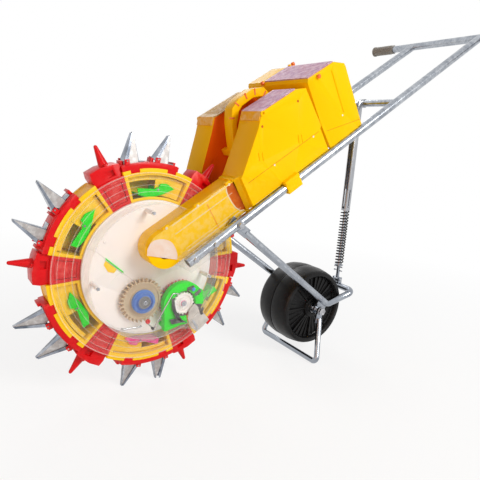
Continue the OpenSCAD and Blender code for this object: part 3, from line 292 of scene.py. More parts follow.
# Each finish: its name, its two tones, and what differs from the common moulded plastic.
M = {
    # Steel
    "zinc": finish_material(
        "zinc_tube", (0.42, 0.45, 0.49), (0.24, 0.26, 0.30),
        roughness=0.2, spread=0.18, metallic=1.0, distance=0.0003, grain=700, grain_share=0.5,
        mottle_scale=22, contrast=1.8, wear_color=(0.8, 0.82, 0.85), dust=0.04,
        dust_color=(0.5, 0.48, 0.44),
    ),
    "bright": finish_material(
        "bright_steel", (0.52, 0.53, 0.55), (0.36, 0.37, 0.4),
        roughness=0.2, spread=0.15, metallic=1.0, bump=0.1, distance=0.0002, peel=60, grain_share=0.5,
        wear=0.2, wear_color=(0.95, 0.95, 0.95), dust=0.02,
    ),
    "beak": finish_material(
        "pressed_steel", (0.40, 0.43, 0.49), (0.12, 0.14, 0.18),
        roughness=0.2, spread=0.2, metallic=1.0, bump=0.2, peel=30, grain=600, contrast=2.6, wear=0.5,
        wear_color=(0.9, 0.9, 0.9), dust=0.06, dust_color=(0.35, 0.27, 0.2),
    ),
    "cheek": finish_material(
        "cheek_steel", (0.44, 0.42, 0.41), (0.22, 0.21, 0.20),
        spread=0.2, metallic=0.7, bump=0.3, peel=30, grain=500, grain_share=0.6, mottle_scale=90,
        contrast=3.4, wear=0.5, wear_color=(0.9, 0.9, 0.9), dust=0.06, dust_color=(0.4, 0.33, 0.27),
    ),
    "dark_steel": finish_material(
        "dark_steel", (0.16, 0.16, 0.17), (0.3, 0.29, 0.28),
        roughness=0.38, spread=0.2, metallic=0.9, bump=0.2, distance=0.0003, peel=60, grain=800,
        grain_share=0.5, contrast=1.8, wear=0.5, wear_color=(0.9, 0.9, 0.88), dust=0.08,
    ),
    # Rubber of the grips
    "rubber_grip": finish_material(
        "grip_rubber", (0.23, 0.225, 0.205), (0.29, 0.28, 0.26),
        roughness=0.62, spread=0.15, bump=0.4, distance=0.0005, peel=90, grain=1200, grain_share=0.8,
        mottle_scale=20, wear=0.25, wear_color=(0.4, 0.36, 0.33), dust=0.15,
    ),
    # White plastic
    "white": finish_material(
        "white_plastic", (0.95, 0.93, 0.92), (0.90, 0.87, 0.85),
        roughness=0.34, peel=24, grain_share=0.3, mottle_scale=9, contrast=1.4, wear=0.1,
        wear_color=(0.9, 0.9, 0.9), dust=0.05, dust_color=(0.62, 0.60, 0.55), subsurface=0.1,
    ),
    "grey_white": finish_material(
        "grey_white_plastic", (0.62, 0.60, 0.57), (0.42, 0.40, 0.38),
        roughness=0.4, bump=0.2, mottle_scale=60, contrast=2.2, wear_color=(0.9, 0.9, 0.88), dust=0.02,
    ),
    # Clear and cloudy plastic
    "clear": finish_material(
        "clear_cover", (0.97, 0.98, 0.98), (0.93, 0.94, 0.94),
        roughness=0.07, spread=0.05, bump=0.08, peel=16, grain=300, grain_share=0.2, mottle_scale=8,
        contrast=1.2, wear=0.2, dust_color=(0.8, 0.8, 0.76), specular=0.06, alpha=0.01,
    ),
    "window": finish_material(
        "chute_window", (1.0, 0.66, 0.008), (1.0, 0.60, 0.005),
        roughness=0.1, spread=0.04, bump=0.02, distance=0.0003, peel=18, grain=300, grain_share=0.2,
        mottle_scale=5, contrast=0.35, wear=0.2, wear_color=(1, 0.9, 0.5), dust_color=(0.9, 0.7, 0.4),
        specular=0.3, alpha=0.78,
    ),
    # Painted highlights on the edges of the steps in the clear covers; also the recesses of the chute tab
    # heads.
    "edge": finish_material(
        "clear_edge", (1.0, 1.0, 0.97), (0.95, 0.95, 0.9),
        roughness=0.12, spread=0.05, bump=0.05, distance=0.0003, peel=16, grain=300, grain_share=0.2,
        mottle_scale=60, contrast=2.5, wear=0.2, dust_color=(0.9, 0.9, 0.86), specular=0.3, alpha=0.13,
    ),
    # Painted highlights: bright lines and the lip round the inlet on the chute windows; also the pale heads of
    # the tabs.
    "glint": finish_material(
        "chute_glint", (1.0, 0.95, 0.74), (1.0, 0.90, 0.52),
        roughness=0.12, spread=0.05, bump=0.05, distance=0.0003, peel=16, grain=300, grain_share=0.2,
        mottle_scale=60, contrast=2.5, wear=0.2, dust_color=(0.9, 0.9, 0.86), specular=0.3, alpha=0.55,
    ),
    "lip": finish_material(
        "lid_lip", (0.94, 0.50, 0.01), (0.86, 0.40, 0.005),
        roughness=0.3, bump=0.1, grain=700, mottle_scale=20, contrast=1.4, wear_color=(1.0, 0.9, 0.6),
        dust_color=(0.9, 0.8, 0.6), specular=0.1, alpha=0.9,
    ),
    "pale": finish_material(
        "chute_pane", (0.90, 0.66, 0.52), (0.92, 0.80, 0.74),
        roughness=0.2, spread=0.06, bump=0.08, distance=0.0003, peel=18, grain=300, grain_share=0.2,
        contrast=2.4, wear=0.2, dust_color=(0.9, 0.8, 0.7), alpha=0.8,
    ),
    "lid": finish_material(
        "cloudy_lid", (0.58, 0.32, 0.44), (0.46, 0.26, 0.46),
        roughness=0.42, spread=0.15, bump=0.3, distance=0.0006, grain=700, grain_share=0.5, mottle_scale=60,
        contrast=2.6, wear=0.4, wear_color=(0.9, 0.8, 0.88), dust=0.01, dust_color=(0.7, 0.6, 0.62),
        specular=0.12, alpha=0.80,
    ),
    # Painted shade: a darker tan copy of the lid finish, for the far lid.
    "tan_lid": finish_material(
        "tan_lid", (0.66, 0.46, 0.18), (0.56, 0.34, 0.08),
        roughness=0.42, spread=0.12, bump=0.2, distance=0.0005, grain=700, grain_share=0.5, mottle_scale=20,
        contrast=1.8, wear_color=(0.9, 0.8, 0.6), dust=0.01, dust_color=(0.6, 0.5, 0.4), specular=0.12,
        alpha=0.8,
    ),
    # Opaque plastic
    "yellow": finish_material(
        "yellow_plastic", (0.98, 0.60, 0.0), (0.95, 0.55, 0.0),
        roughness=0.34, spread=0.08, bump=0.08, peel=30, mottle_scale=6, contrast=1.0, wear=0.2,
        wear_color=(0.98, 0.72, 0.06), dust_color=(0.9, 0.6, 0.2), specular=0.07,
    ),
    # Painted shade, and painted light through the plastic, for the inner faces between the hoppers.
    "hopper_gap_shade": finish_material(
        "amber_plastic", (0.84, 0.13, 0.001), (0.76, 0.09, 0.001),
        spread=0.08, bump=0.08, peel=30, mottle_scale=6, contrast=1.0, wear=0.2,
        wear_color=(0.9, 0.3, 0.02), dust_color=(0.9, 0.6, 0.2), specular=0.07,
    ),
    "ring_yellow": finish_material(
        "ring_yellow", (0.98, 0.66, 0.01), (0.95, 0.58, 0.005),
        roughness=0.38, bump=0.1, mottle_scale=10, contrast=1.2, wear=0.25, wear_color=(0.99, 0.86, 0.3),
        dust=0.02, dust_color=(0.9, 0.66, 0.3), specular=0.2,
    ),
    "red": finish_material(
        "red_plastic", (0.74, 0.004, 0.008), (0.60, 0.002, 0.005),
        roughness=0.32, bump=0.1, mottle_scale=12, contrast=1.4, wear_color=(0.92, 0.2, 0.16), dust=0.02,
        dust_color=(0.6, 0.15, 0.1), specular=0.22,
    ),
    "green": finish_material(
        "green_plastic", (0.002, 0.84, 0.010), (0.001, 0.72, 0.006),
        mottle_scale=12, contrast=1.4, wear=0.2, wear_color=(0.2, 0.95, 0.2), dust_color=(0.4, 0.6, 0.3),
        specular=0.08,
    ),
    "pink": finish_material(
        "pink_plastic", (0.90, 0.06, 0.36), (0.80, 0.04, 0.28),
        mottle_scale=12, contrast=1.4, wear_color=(0.95, 0.6, 0.6), dust=0.02, specular=0.25,
    ),
    "beige": finish_material(
        "beige_gear", (0.66, 0.54, 0.38), (0.46, 0.35, 0.22),
        roughness=0.42, bump=0.15, peel=60, mottle_scale=30, wear=0.4, wear_color=(0.8, 0.7, 0.5), dust=0.1,
    ),
    "blue": finish_material(
        "blue_ring", (0.10, 0.28, 0.78), (0.07, 0.2, 0.62),
        peel=60, mottle_scale=20, contrast=1.4, wear=0.4, wear_color=(0.3, 0.5, 0.75), dust=0.05,
    ),
    "brown_gear": finish_material(
        "brown_gear", (0.62, 0.06, 0.08), (0.48, 0.03, 0.05),
        roughness=0.4, bump=0.15, peel=60, mottle_scale=30, wear=0.4, wear_color=(0.75, 0.4, 0.3),
        dust=0.06,
    ),
    "orange": finish_material(
        "orange_plastic", (0.86, 0.16, 0.002), (0.72, 0.10, 0.001),
        peel=60, mottle_scale=20, contrast=1.4, wear_color=(0.98, 0.5, 0.2), dust=0.04,
    ),
    "dark": finish_material(
        "dark_plastic", (0.03, 0.03, 0.032), (0.055, 0.055, 0.06),
        roughness=0.42, bump=0.15, peel=60, mottle_scale=30, wear_color=(0.3, 0.3, 0.3), dust=0.05,
    ),
    # Rubber of the wheel, lacquer of the spring
    "wheel": finish_material(
        "wheel_rubber", (0.0022, 0.0022, 0.0026), (0.006, 0.006, 0.0065),
        roughness=0.34, spread=0.16, bump=0.25, distance=0.0006, peel=24, grain=700, grain_share=0.5,
        mottle_scale=18, contrast=1.8, wear_color=(0.03, 0.03, 0.033), dust=0.004,
        dust_color=(0.2, 0.18, 0.15), specular=0.2,
    ),
    "spring": finish_material(
        "spring_lacquer", (0.004, 0.004, 0.005), (0.012, 0.012, 0.013),
        roughness=0.42, spread=0.15, bump=0.15, distance=0.0003, peel=60, grain_share=0.5,
        wear_color=(0.2, 0.2, 0.21), specular=0.2,
    ),
    # Hub and shaded inlets
    "grey": finish_material(
        "grey_hub", (0.22, 0.23, 0.24), (0.15, 0.155, 0.16),
        roughness=0.4, bump=0.15, peel=60, mottle_scale=30, wear=0.4, wear_color=(0.5, 0.5, 0.5), dust=0.05,
    ),
    # Painted shade of the chute inlets and of two holes in the near hopper; the same dark orange draws the
    # mould seams.
    "inlet": finish_material(
        "inlet_shade", (0.62, 0.13, 0.001), (0.42, 0.06, 0.001),
        roughness=0.45, mottle_scale=30, contrast=2.2, wear=0.1, wear_color=(0.8, 0.4, 0.1), specular=0.2,
    ),
}


# Mesh helpers

def link(name, mesh, material=None):
    """A mesh as an object of the scene, with its finish."""
    obj = bpy.data.objects.new(name, mesh)
    bpy.context.collection.objects.link(obj)
    if material:
        mesh.materials.clear()
        mesh.materials.append(M[material])
    return obj


def smooth(mesh, degrees=32.0):
    """Smooth shading, with sharp edges where faces meet at more than the angle."""
    for face in mesh.polygons:
        face.use_smooth = True
    mesh.set_sharp_from_angle(angle=math.radians(degrees))


def baked(obj):
    """Applies the object's modifiers, which leaves a plain mesh."""
    graph = bpy.context.evaluated_depsgraph_get()
    mesh = bpy.data.meshes.new_from_object(obj.evaluated_get(graph))
    obj.modifiers.clear()
    old = obj.data
    obj.data = mesh
    bpy.data.meshes.remove(old)


def rounded(obj, width, segments=2):
    """Breaks the sharp edges by a small radius."""
    bevel = obj.modifiers.new("edges", "BEVEL")
    bevel.width = width
    bevel.segments = segments
    bevel.limit_method = "ANGLE"
    bevel.angle_limit = math.radians(34)
    bevel.miter_outer = "MITER_ARC"
    bevel.use_clamp_overlap = True
    baked(obj)
    smooth(obj.data)


def drawn(bm, name, material, degrees=None):
    """The faces drawn in bm as an object, smooth across edges flatter than the given angle."""
    bmesh.ops.recalc_face_normals(bm, faces=bm.faces)
    mesh = bpy.data.meshes.new(name)
    bm.to_mesh(mesh)
    bm.free()
    if degrees:
        smooth(mesh, degrees)
    return link(name, mesh, material)


def seat(obj, body):
    """Rides a piece on a body."""
    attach(obj, body)


def skin(bm, rings):
    """Faces from each ring of points to the next."""
    for a, b in zip(rings, rings[1:]):
        for i in range(len(a)):
            j = (i + 1) % len(a)
            bm.faces.new((a[i], a[j], b[j], b[i]))


def prism(bm, low, high):
    """Closes two equal outlines to a solid."""
    bm.faces.new(low)
    bm.faces.new(list(reversed(high)))
    for i in range(len(low)):
        j = (i + 1) % len(low)
        bm.faces.new((low[j], low[i], high[i], high[j]))


# The CAD pieces

# Half the width of the hoppers and of the rear box, in metres.
BOX_SIDE = 0.099
# The clear front lips of the hopper lids end at this height above the tubes, in metres.
LIP_TOP = 0.158
# The mouths of the ring, each with a gate and two beaks, and the one whose gate is pink.
MOUTHS = 6
PINK_GATE = 4


def above_tubes(p):
    return (p - AXIS).dot(ABOVE)


def soften(bm, radius):
    """Rolls the long outer corners of a moulded box above the tubes."""
    corners = []
    for edge in bm.edges:
        a, b = (v.co for v in edge.verts)
        length = (a - b).length
        if len(edge.link_faces) != 2 or not edge.is_convex or edge.calc_face_angle(0) < math.radians(24):
            continue
        outside = all(abs(abs(p.y) - BOX_SIDE) < 0.0003 for p in (a, b))
        crossing = abs(abs(a.y - b.y) - length) < 1e-4 and max(abs(a.y), abs(b.y)) > BOX_SIDE - 0.0005
        if (outside or crossing) and length > 0.012 and above_tubes((a + b) / 2) > 0.012:
            corners.append(edge)
    bmesh.ops.bevel(
        bm, geom=corners, offset=radius, offset_type="OFFSET", segments=4, profile=0.5, affect="EDGES",
        clamp_overlap=True,
    )


def dress(node, material, body, width, segments, soft=0.0):
    """The node again with broken edges and its finish, in place of the plain solid."""
    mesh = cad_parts[node].data.copy()
    bm = bmesh.new()
    bm.from_mesh(mesh)
    bmesh.ops.remove_doubles(bm, verts=bm.verts, dist=2e-6)
    bmesh.ops.dissolve_degenerate(bm, edges=bm.edges, dist=1e-6)
    bmesh.ops.dissolve_limit(bm, angle_limit=math.radians(0.6), verts=bm.verts, edges=bm.edges)
    if soft:
        soften(bm, soft)
    bm.to_mesh(mesh)
    bm.free()
    if mesh.has_custom_normals:
        # Zero vectors let Blender work the normals out again.
        mesh.normals_split_custom_set([(0, 0, 0)] * len(mesh.loops))
    obj = link(node + "_shell", mesh, material)
    rounded(obj, width, segments)
    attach(obj, body)
    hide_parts(node)
    return obj


def paint(node, material):
    """The CAD node keeps its shape and gets its finish."""
    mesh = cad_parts[node].data
    mesh.materials.clear()
    mesh.materials.append(M[material])


# Each dressed node: finish, body, width and steps of its edges, and the radius of its long outer corners.
DRESSED = {
    "hopper_left": ("yellow", "frame", 0.0005, 2, 0.0036),
    "hopper_right": ("yellow", "frame", 0.0005, 2, 0.0036),
    "rear_box": ("yellow", "frame", 0.0005, 2, 0.0040),
    "carry_handle": ("yellow", "frame", 0.001, 3),
    "seed_chutes": ("yellow", "frame", 0.0006, 2),
    "core_discs": ("white", "frame", 0.0003, 2),
    "metering_housing": ("green", "frame", 0.0006, 2),
    "drive_gear": ("beige", "drive", 0.0002, 1),
    "clutch_ring": ("blue", "drive", 0.0003, 2),
    "metering_gear": ("brown_gear", "metering", 0.0002, 1),
    "seed_disc": ("white", "metering", 0.0002, 1),
    "segments_yellow": ("ring_yellow", "drum", 0.0005, 2),
    "segments_red": ("red", "drum", 0.0005, 2),
    "beak_carriers": ("red", "drum", 0.0005, 2),
    "beaks_fixed": ("beak", "drum", 0.0002, 1),
    "press_wheel": ("wheel", "wheel", 0.0006, 2),
    "strut_channel": ("bright", "strut", 0.0003, 2),
    "strut_rod": ("zinc", "rod", 0.0003, 2),
    "stand": ("zinc", "stand", 0.0004, 2),
    "fork": ("zinc", "fork", 0.0004, 2),
}
SHELLS = {node: dress(node, material, body, *sizes) for node, (material, body, *sizes) in DRESSED.items()}
# Inner faces between the hoppers get a deep orange: painted shade, and painted light through the plastic.
for node in ("hopper_left", "hopper_right"):
    mesh = SHELLS[node].data
    mesh.materials.append(M["hopper_gap_shade"])
    for face in mesh.polygons:
        y = face.center.y
        if abs(y) < 0.05 and face.normal.y * y < -0.9 * abs(y):
            face.material_index = 1

PAINTED = {
    "tube_left": "zinc", "tube_right": "zinc", "handle_bar": "zinc", "cross_bar": "zinc",
    "handle_grips": "rubber_grip", "side_covers": "clear", "chute_windows": "window",
    # The far lid takes the tan copy of the lid finish, which is painted shade.
    "lid_left": "lid", "lid_right": "tan_lid", "lid_rear": "lid",
    "brush_pads": "dark", "wire_clips": "bright", "frame_screws": "bright", "drive_pinion": "dark",
    "metering_shaft": "bright", "ring_pins": "dark_steel", "ring_gear": "ring_yellow",
    "fork_bolts": "bright", "axle": "bright", "fork_fasteners": "bright", "cotter_pins": "bright",
    "strut_spring": "spring",
}
for node, material in PAINTED.items():
    paint(node, material)
for k in range(1, MOUTHS + 1):
    paint("gate_%d" % k, "pink" if k == PINK_GATE else "green")
for k in range(1, 2 * MOUTHS + 1):
    paint("beak_flap_%d" % k, "beak")
# The front lips of the hopper lids are clear yellow.
for node in ("lid_left", "lid_right"):
    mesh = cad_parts[node].data
    mesh.materials.append(M["lip"])
    for face in mesh.polygons:
        if above_tubes(face.center) < LIP_TOP:
            face.material_index = 1


# The spring of the strut

def coil_spring():
    """The wound spring, drawn from its lower seat up against its upper seat."""
    lean = math.radians(1.8)
    up = Vector((-math.sin(lean), 0, math.cos(lean)))
    side = Vector((math.cos(lean), 0, math.sin(lean)))
    foot = level(551, 0, -78)
    turns, steps, wire_sides, radius, wire = 19, 28, 10, 0.0096, 0.0016
    lower_seat, upper_seat = 0.0402, 0.1838
    low, high = lower_seat + wire, upper_seat - wire
    # The coils stand a little closer in the middle, and this fades out over the end turns.
    end_turns, drift = 1.6, 0.012
    centre = []
    for i in range(turns * steps + 1):
        t = i / (turns * steps)
        share = min(t * turns / end_turns, (1 - t) * turns / end_turns, 1.0)
        a = 2 * math.pi * i / steps
        u = t + drift * math.sin(2 * math.pi * t) * share
        out = side * math.cos(a) + SIDE * math.sin(a)
        centre.append(foot + up * (low + (high - low) * u) + out * radius)
    bm = bmesh.new()
    rings = []
    for i, p in enumerate(centre):
        ahead = centre[min(i + 1, len(centre) - 1)] - centre[max(i - 1, 0)]
        ahead.normalize()
        base = foot + up * (p - foot).dot(up)
        out = (p - base).normalized()
        across = ahead.cross(out).normalized()
        rings.append([
            bm.verts.new(p + (out * math.cos(b) + across * math.sin(b)) * wire)
            for b in (2 * math.pi * j / wire_sides for j in range(wire_sides))
        ])
    skin(bm, rings)
    bm.faces.new(rings[0])
    bm.faces.new(list(reversed(rings[-1])))
    obj = drawn(bm, "coil_spring", "spring", 50)
    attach(obj, "strut")
    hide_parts("strut_spring")
    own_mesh(obj)


coil_spring()


# Repeated pieces, made by node trees

def new_geometry_tree(name, inputs):
    """An empty geometry tree, with its input and output nodes."""
    tree = bpy.data.node_groups.new(name, "GeometryNodeTree")
    tree.interface.new_socket(name="Geometry", in_out="INPUT", socket_type="NodeSocketGeometry")
    for label, kind, value in inputs:
        socket = tree.interface.new_socket(name=label, in_out="INPUT", socket_type=kind)
        if value is not None:
            socket.default_value = value
    tree.interface.new_socket(name="Geometry", in_out="OUTPUT", socket_type="NodeSocketGeometry")
    return tree, tree.nodes.new("NodeGroupInput"), tree.nodes.new("NodeGroupOutput")


def xyz(tree, x, y, z):
    node = tree.nodes.new("ShaderNodeCombineXYZ")
    for socket, value in zip(node.inputs, (x, y, z)):
        feed(tree, value, socket)
    return node.outputs[0]


def painted(tree, geometry, material):
    """The geometry with its finish, inside a tree."""
    node = tree.nodes.new("GeometryNodeSetMaterial")
    tree.links.new(geometry, node.inputs["Geometry"])
    tree.links.new(material, node.inputs["Material"])
    return node.outputs[0]


def make_screw_tree():
    """Pan head screws with a cross recess, one at each point, standing along the attribute 'out'."""
    tree, gin, gout = new_geometry_tree("pan_screws", [
        ("Head Radius", "NodeSocketFloat", 0.003),
        ("Head Height", "NodeSocketFloat", 0.0018),
        ("Head", "NodeSocketMaterial", None),
        ("Recess", "NodeSocketMaterial", None),
    ])
    radius, height = gin.outputs["Head Radius"], gin.outputs["Head Height"]
    parts = []
    for share, rise in ((1.0, 0.5), (0.82, 0.85)):
        disc = tree.nodes.new("GeometryNodeMeshCylinder")
        disc.inputs["Vertices"].default_value = 24
        tree.links.new(math_node(tree, "MULTIPLY", radius, share), disc.inputs["Radius"])
        tree.links.new(math_node(tree, "MULTIPLY", height, rise), disc.inputs["Depth"])
        move = tree.nodes.new("GeometryNodeTransform")
        tree.links.new(disc.outputs["Mesh"], move.inputs["Geometry"])
        lift = math_node(tree, "MULTIPLY", height, rise * 0.5)
        tree.links.new(xyz(tree, 0.0, 0.0, lift), move.inputs["Translation"])
        parts.append(painted(tree, move.outputs[0], gin.outputs["Head"]))
    for along, across in ((1.1, 0.24), (0.24, 1.1)):
        slot = tree.nodes.new("GeometryNodeMeshCube")
        length, width = (math_node(tree, "MULTIPLY", radius, share) for share in (along, across))
        depth = math_node(tree, "MULTIPLY", height, 0.2)
        tree.links.new(xyz(tree, length, width, depth), slot.inputs["Size"])
        move = tree.nodes.new("GeometryNodeTransform")
        lift = math_node(tree, "MULTIPLY", height, 0.77)
        tree.links.new(slot.outputs["Mesh"], move.inputs["Geometry"])
        tree.links.new(xyz(tree, 0.0, 0.0, lift), move.inputs["Translation"])
        parts.append(painted(tree, move.outputs[0], gin.outputs["Recess"]))
    join = tree.nodes.new("GeometryNodeJoinGeometry")
    for part in parts:
        tree.links.new(part, join.inputs[0])
    attribute = tree.nodes.new("GeometryNodeInputNamedAttribute")
    attribute.data_type = "FLOAT_VECTOR"
    attribute.inputs["Name"].default_value = "out"
    align = tree.nodes.new("FunctionNodeAlignRotationToVector")
    align.axis = "Z"
    tree.links.new(attribute.outputs["Attribute"], align.inputs["Vector"])
    spread = tree.nodes.new("GeometryNodeInstanceOnPoints")
    tree.links.new(gin.outputs["Geometry"], spread.inputs["Points"])
    tree.links.new(join.outputs[0], spread.inputs["Instance"])
    tree.links.new(align.outputs[0], spread.inputs["Rotation"])
    real = tree.nodes.new("GeometryNodeRealizeInstances")
    tree.links.new(spread.outputs[0], real.inputs[0])
    tree.links.new(real.outputs[0], gout.inputs[0])
    return tree


def make_comb_tree():
    """Small blocks round a circle about the local Y axis, such as knurls, tread bars and serrations."""
    tree, gin, gout = new_geometry_tree("round_comb", [
        ("Count", "NodeSocketInt", 24),
        ("Radius", "NodeSocketFloat", 0.02),
        ("Width", "NodeSocketFloat", 0.001),
        ("Depth", "NodeSocketFloat", 0.002),
        ("Length", "NodeSocketFloat", 0.002),
        ("Lean", "NodeSocketFloat", 0.0),
        ("Finish", "NodeSocketMaterial", None),
    ])
    circle = tree.nodes.new("GeometryNodeMeshCircle")
    tree.links.new(gin.outputs["Count"], circle.inputs["Vertices"])
    tree.links.new(gin.outputs["Radius"], circle.inputs["Radius"])
    block = tree.nodes.new("GeometryNodeMeshCube")
    tree.links.new(
        xyz(tree, gin.outputs["Length"], gin.outputs["Width"], gin.outputs["Depth"]), block.inputs["Size"]
    )
    place_at = tree.nodes.new("GeometryNodeInputPosition")
    align = tree.nodes.new("FunctionNodeAlignRotationToVector")
    align.axis = "X"
    tree.links.new(place_at.outputs[0], align.inputs["Vector"])
    lean = tree.nodes.new("FunctionNodeRotateRotation")
    lean.rotation_space = "LOCAL"
    turn = tree.nodes.new("FunctionNodeEulerToRotation")
    tree.links.new(xyz(tree, gin.outputs["Lean"], 0.0, 0.0), turn.inputs[0])
    tree.links.new(align.outputs[0], lean.inputs[0])
    tree.links.new(turn.outputs[0], lean.inputs[1])
    spread = tree.nodes.new("GeometryNodeInstanceOnPoints")
    tree.links.new(circle.outputs[0], spread.inputs["Points"])
    tree.links.new(block.outputs["Mesh"], spread.inputs["Instance"])
    tree.links.new(lean.outputs[0], spread.inputs["Rotation"])
    real = tree.nodes.new("GeometryNodeRealizeInstances")
    tree.links.new(spread.outputs[0], real.inputs[0])
    stand = tree.nodes.new("GeometryNodeTransform")
    stand.inputs["Rotation"].default_value = (math.pi / 2, 0, 0)
    tree.links.new(real.outputs[0], stand.inputs["Geometry"])
    tree.links.new(painted(tree, stand.outputs[0], gin.outputs["Finish"]), gout.inputs[0])
    return tree


def make_row_tree():
    """Equal blocks in a straight row, such as ribs and tabs."""
    tree, gin, gout = new_geometry_tree("straight_row", [
        ("Count", "NodeSocketInt", 5),
        ("Step", "NodeSocketVector", (0.01, 0, 0)),
        ("Block", "NodeSocketVector", (0.002, 0.002, 0.002)),
        ("Finish", "NodeSocketMaterial", None),
    ])
    line = tree.nodes.new("GeometryNodeMeshLine")
    tree.links.new(gin.outputs["Count"], line.inputs["Count"])
    tree.links.new(gin.outputs["Step"], line.inputs["Offset"])
    block = tree.nodes.new("GeometryNodeMeshCube")
    tree.links.new(gin.outputs["Block"], block.inputs["Size"])
    spread = tree.nodes.new("GeometryNodeInstanceOnPoints")
    tree.links.new(line.outputs[0], spread.inputs["Points"])
    tree.links.new(block.outputs["Mesh"], spread.inputs["Instance"])
    real = tree.nodes.new("GeometryNodeRealizeInstances")
    tree.links.new(spread.outputs[0], real.inputs[0])
    tree.links.new(painted(tree, real.outputs[0], gin.outputs["Finish"]), gout.inputs[0])
    return tree


TREES = {"screws": make_screw_tree(), "comb": make_comb_tree(), "row": make_row_tree()}


def grow(name, tree_name, body, slot, mesh=None, matrix=None, bevel=0.0, **values):
    """Runs one of the trees, keeps its result as a plain mesh and rides it on a body."""
    tree = TREES[tree_name]
    obj = link(name, mesh or bpy.data.meshes.new(name))
    modifier = obj.modifiers.new("tree", "NODES")
    modifier.node_group = tree
    for item in tree.interface.items_tree:
        label = item.name.replace(" ", "_")
        if item.in_out == "INPUT" and label in values:
            modifier[item.identifier] = values[label]
    baked(obj)
    if matrix is not None:
        obj.data.transform(matrix)
    if bevel:
        rounded(obj, bevel, 1)
    else:
        smooth(obj.data)
    seat(obj, body)


def screws(name, body, slot, places, radius=0.003, height=0.0016, head="bright", recess="dark"):
    """Screw heads at (point, direction) places."""
    mesh = bpy.data.meshes.new(name)
    mesh.from_pydata([p for p, d in places], [], [])
    attribute = mesh.attributes.new("out", "FLOAT_VECTOR", "POINT")
    for i, (p, d) in enumerate(places):
        attribute.data[i].vector = d
    grow(
        name, "screws", body, slot, mesh, Head_Radius=radius, Head_Height=height, Head=M[head],
        Recess=M[recess],
    )


def comb(name, body, slot, centre, material, **values):
    """Small blocks round a circle about the centre, sizes in metres."""
    grow(name, "comb", body, slot, matrix=Matrix.Translation(centre), Finish=M[material], **values)


TUBE_FRAME = Matrix.Translation(AXIS) @ Matrix((ALONG, SIDE, ABOVE)).transposed().to_4x4()


def row(name, body, slot, start, step, block, count, material, bevel=0.0):
    """A row in the frame of the long tubes; start, step and block in millimetres along, across and above."""
    shift = TUBE_FRAME @ Matrix.Translation(Vector(start) / 1000)
    grow(
        name, "row", body, slot, matrix=shift, bevel=bevel, Count=count, Step=tuple(v / 1000 for v in step),
        Block=tuple(v / 1000 for v in block), Finish=M[material],
    )


def bar(name, slot, centre, block, material, bevel=0.0):
    """One block on the frame, in the same measures."""
    row(name, "frame", slot, centre, (1, 0, 0), block, 1, material, bevel)


# Flat and turned pieces

# The way out of the near side.
NEAR = (0, -1, 0)


def slab(name, outline, y0, y1, material, body, frame_of=None, bevel=0.0003):
    """A flat outline in millimetres, thick from y0 to y1, in the plane of the ring or of the tubes."""
    matrix = frame_of or Matrix.Translation(AXIS)
    bm = bmesh.new()
    low = [bm.verts.new(matrix @ (Vector((x, y0, z)) / 1000)) for x, z in outline]
    high = [bm.verts.new(matrix @ (Vector((x, y1, z)) / 1000)) for x, z in outline]
    prism(bm, low, high)
    obj = drawn(bm, name, material)
    if bevel:
        rounded(obj, bevel)
    seat(obj, body)
    return obj


def turned(name, profile, centre, axis, material, body, steps=48, ring=False):
    """A turned piece: profile points are (radius, height) in millimetres along the axis from the centre."""
    axis = Vector(axis).normalized()
    side = axis.orthogonal().normalized()
    other = axis.cross(side)
    bm = bmesh.new()
    rings = []
    for r, h in profile:
        if r <= 1e-6:
            rings.append([bm.verts.new(centre + axis * h / 1000)])
            continue
        rings.append([
            bm.verts.new(centre + axis * h / 1000 + (side * math.cos(a) + other * math.sin(a)) * r / 1000)
            for a in (2 * math.pi * i / steps for i in range(steps))
        ])
    if ring:
        rings.append(rings[0])
    for a, b in zip(rings, rings[1:]):
        for i in range(steps):
            j = (i + 1) % steps
            if len(a) == 1:
                bm.faces.new((a[0], b[i], b[j]))
            elif len(b) == 1:
                bm.faces.new((a[i], b[0], a[j]))
            else:
                bm.faces.new((a[i], b[i], b[j], a[j]))
    for end in (rings[0], rings[-1]):
        if len(end) > 1 and not ring:
            bm.faces.new(end)
    seat(drawn(bm, name, material, 32), body)


def arc(r, a0, a1, steps):
    """Points from a0 to a1 degrees at radius r, in millimetres round the ring axis."""
    angles = (math.radians(a0 + (a1 - a0) * i / steps) for i in range(steps + 1))
    return [(r * math.cos(a), r * math.sin(a)) for a in angles]


def ring_arc(r0, r1, a0, a1, steps=10):
    """Outline of a flat ring piece, in millimetres round the ring axis."""
    return arc(r1, a0, a1, steps) + arc(r0, a1, a0, steps)


def circle_cut(points, r):
    """Draws the points that lie beyond radius r in to it."""
    inside = []
    for x, z in points:
        reach = math.hypot(x, z)
        inside.append((x, z) if reach <= r else (x * r / reach, z * r / reach))
    return inside


# Details of the disc and the metering parts

PANEL_R = 127


